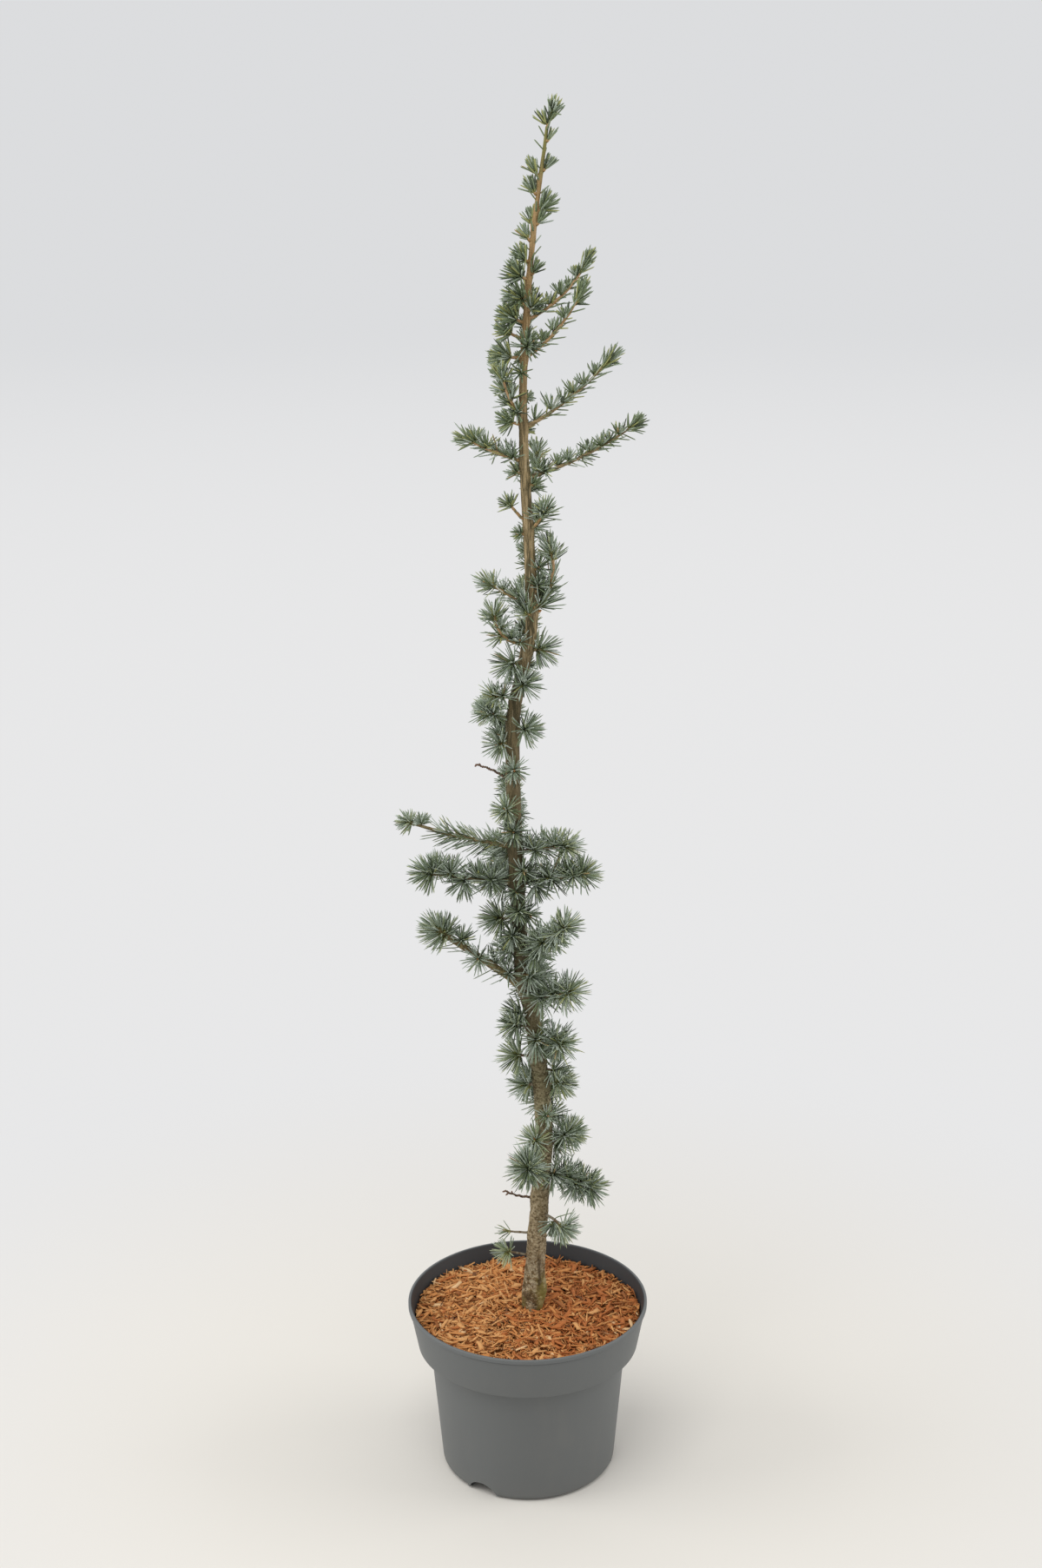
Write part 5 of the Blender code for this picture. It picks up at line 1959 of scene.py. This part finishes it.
    def add_node_buds(self) -> None:
        """Ring the trunk's knuckle with plump buds."""
        for number in range(self.node_buds):
            way = heading(200 + 150 * number / (self.node_buds - 1), self.rng.uniform(20, 50))
            height = self.node_height + self.rng.uniform(-0.004, 0.004)
            skin = 0.95 * self.trunk.radius(height) * normalised(way * [1.0, 1.0, 0.0])
            self.add_bud(self.trunk.middle(height) + skin, way, self.rng.uniform(*self.node_bud))

    def build_dead_twigs(self) -> None:
        """Make the dead twigs: knobbly, forked stubs with no needles."""
        sides, steps = self.twig_sides, self.twig_steps
        woods = indices(Wood.DARK, Wood.RUSSET, Wood.BROWN)
        for shoot in DEAD_TWIGS:
            bundle = Bundle(f"bark_{shoot.name}", "bark", Wood)
            bundle.stands_for.append(shoot.name)
            shares, middles, directions, radii = self.rings_of(shoot, steps, sides)
            middles = middles + self.twig_sway * np.sin(shares * 26)[:, None] * across(directions)[1]
            knobs = 1 + 0.32 * np.sin(shares * 47) ** 4 + self.rng.normal(0, 0.07, steps + 1)
            radii = radii * knobs[:, None] * 0.8 * (1 + self.rng.normal(0, 0.08, radii.shape))
            radii[0] *= 1.3
            tones = self.rng.choice(woods, len(tube_faces(steps + 1, sides)))
            bundle.add_tube(middles, directions, radii, tones)
            for share in self.twig_stubs:
                at = int(share * steps)
                side, up = across(directions[at])
                angle = self.rng.uniform(0, math.tau)
                way = normalised(math.cos(angle) * side + math.sin(angle) * up + 0.5 * directions[at])
                stub = np.linspace(0, self.rng.uniform(*self.stub_length), len(self.stub_radii))
                girth = np.repeat(np.array(self.stub_radii)[:, None], self.peg_sides, axis=1)
                wood = index_of(Wood.RUSSET if share > 0.6 else Wood.DARK)
                bundle.add_tube(stub[:, None] * way + middles[at], way, girth, wood)
            bundle.build()

    def build_boughs(self) -> None:
        """Make each bough whole, from its collar to its tip, with bark relief."""
        finish = BarkFinish(
            "bough_bark",
            crevice=(0.070, 0.052, 0.020),
            ground=(0.215, 0.172, 0.070),
            crest=(0.400, 0.345, 0.190),
            grain=(0.08, 1.0, 1.0),
            # Painted shade on the boughs, lighter than on the trunk
            shade_strength=0.12,
            deep_shade_strength=0.0,
            striped=(0.50, 0.80),
        ).build()
        for shoot in SHOOTS:
            if not shoot.bough:
                continue
            steps = round(shoot.length / self.bough_step)
            shares, middles, directions, radii = self.rings_of(shoot, steps, self.bough_sides, 0.3)
            radii *= (1 + 0.35 * np.exp(-((shares * shoot.length / self.bough_flare) ** 2)))[:, None]
            rings = swept(middles, directions, radii)
            relief = np.array([[self.trunk.bark(Vector(place)) for place in ring] for ring in rings])
            rings = swept(middles, directions, radii + self.bough_relief * relief)
            bough = object_from(f"bark_{shoot.name}", grown_tube(list(rings)))
            bough.data.shade_smooth()
            finish_piece(bough, [finish], [f"bough_{shoot.name}"])

    def build(self) -> None:
        """Clothe every shoot, then join each kind."""
        self.grow_leader()
        for shoot in SHOOTS:
            self.grow(shoot, f"foliage_{shoot.name}")
        for shoot in SPURS:
            self.grow(shoot)
        self.grow_back_spurs()
        self.add_node_buds()
        self.build_boughs()
        self.build_dead_twigs()
        for bundle in (self.stems, self.spurs, *self.pieces):
            bundle.build()


# ---------------------------------------------------------------- Studio


@dataclass
class Studio:
    """A pale floor under soft, even light."""

    floor_radius: float = 60.0
    lamp_target: Point = (0.0, 0.0, 0.6)
    sky: Colour = (0.715, 0.722, 0.735)

    def add_lamp(self, name: str, place: Point, size: float, power: float) -> None:
        """Add a soft square lamp that faces the tree.

        Args:
            name: the lamp's name.
            place: where it hangs.
            size: its side.
            power: its watts.
        """
        data = bpy.data.lights.new(name, "AREA")
        data.shape = "SQUARE"
        data.size = size
        data.energy = power
        lamp = linked(name, data)
        aim = Vector(self.lamp_target) - Vector(place)
        turn = aim.to_track_quat("-Z", "Y").to_matrix().to_4x4()
        lamp.matrix_world = Matrix.Translation(Vector(place)) @ turn
        lamp.visible_camera = False

    def build(self) -> None:
        """Make the floor, the sky and the lamps."""
        shape = bmesh.new()
        bmesh.ops.create_circle(shape, cap_ends=True, segments=96, radius=self.floor_radius)
        floor = object_from("studio_floor", shape)
        floor.data.materials.append(FloorFinish().build())
        world = bpy.data.worlds.new("studio_sky")
        world.use_nodes = True
        backdrop = world.node_tree.nodes["Background"]
        backdrop.inputs["Color"].default_value = (*self.sky, 1.0)
        bpy.context.scene.world = world
        bpy.context.scene.view_settings.view_transform = "Standard"
        self.add_lamp("top_lamp", (-0.5, -1.2, 2.9), 1.5, 26.0)
        self.add_lamp("left_lamp", (-2.4, -0.2, 1.5), 1.6, 26.0)
        self.add_lamp("right_lamp", (2.4, 0.0, 1.4), 1.6, 20.0)


@dataclass
class StudioCamera:
    """A camera a little above the tree's middle, looking slightly down."""

    eye: Point = (-0.005, -1.818, 1.20)
    pitch: float = 16.0
    yaw: float = 0.07
    roll: float = -0.41
    focal_pixels: float = 2446.0
    long_side: float = 1805.0
    sensor: float = 36.0

    def build(self) -> None:
        """Make the camera and use it."""
        pitch, yaw, roll = (math.radians(angle) for angle in (self.pitch, self.yaw, self.roll))
        ahead = Vector((math.sin(yaw) * math.cos(pitch), math.cos(yaw) * math.cos(pitch), -math.sin(pitch)))
        right = Vector((math.cos(yaw), -math.sin(yaw), 0.0))
        up = right.cross(ahead)
        right, up = math.cos(roll) * right + math.sin(roll) * up, math.cos(roll) * up - math.sin(roll) * right
        data = bpy.data.cameras.new("studio_camera")
        data.sensor_width = self.sensor
        data.lens = self.focal_pixels * self.sensor / self.long_side
        camera = linked("studio_camera", data)
        basis = Matrix((right, up, -ahead)).transposed().to_4x4()
        camera.matrix_world = Matrix.Translation(Vector(self.eye)) @ basis
        bpy.context.scene.camera = camera


def main() -> None:
    """Build the whole scene in order."""
    logging.basicConfig(level=logging.INFO, format="%(name)s: %(message)s")
    StudioCamera().build()
    Studio().build()
    pot = NurseryPot()
    pot.build()
    BarkMulch(pot).build(np.random.default_rng(SEED))
    trunk = Trunk()
    trunk.build(SHOOTS + DEAD_TWIGS)
    Crown(trunk, np.random.default_rng(SEED + 1)).build()


if __name__ == "__main__":
    main()
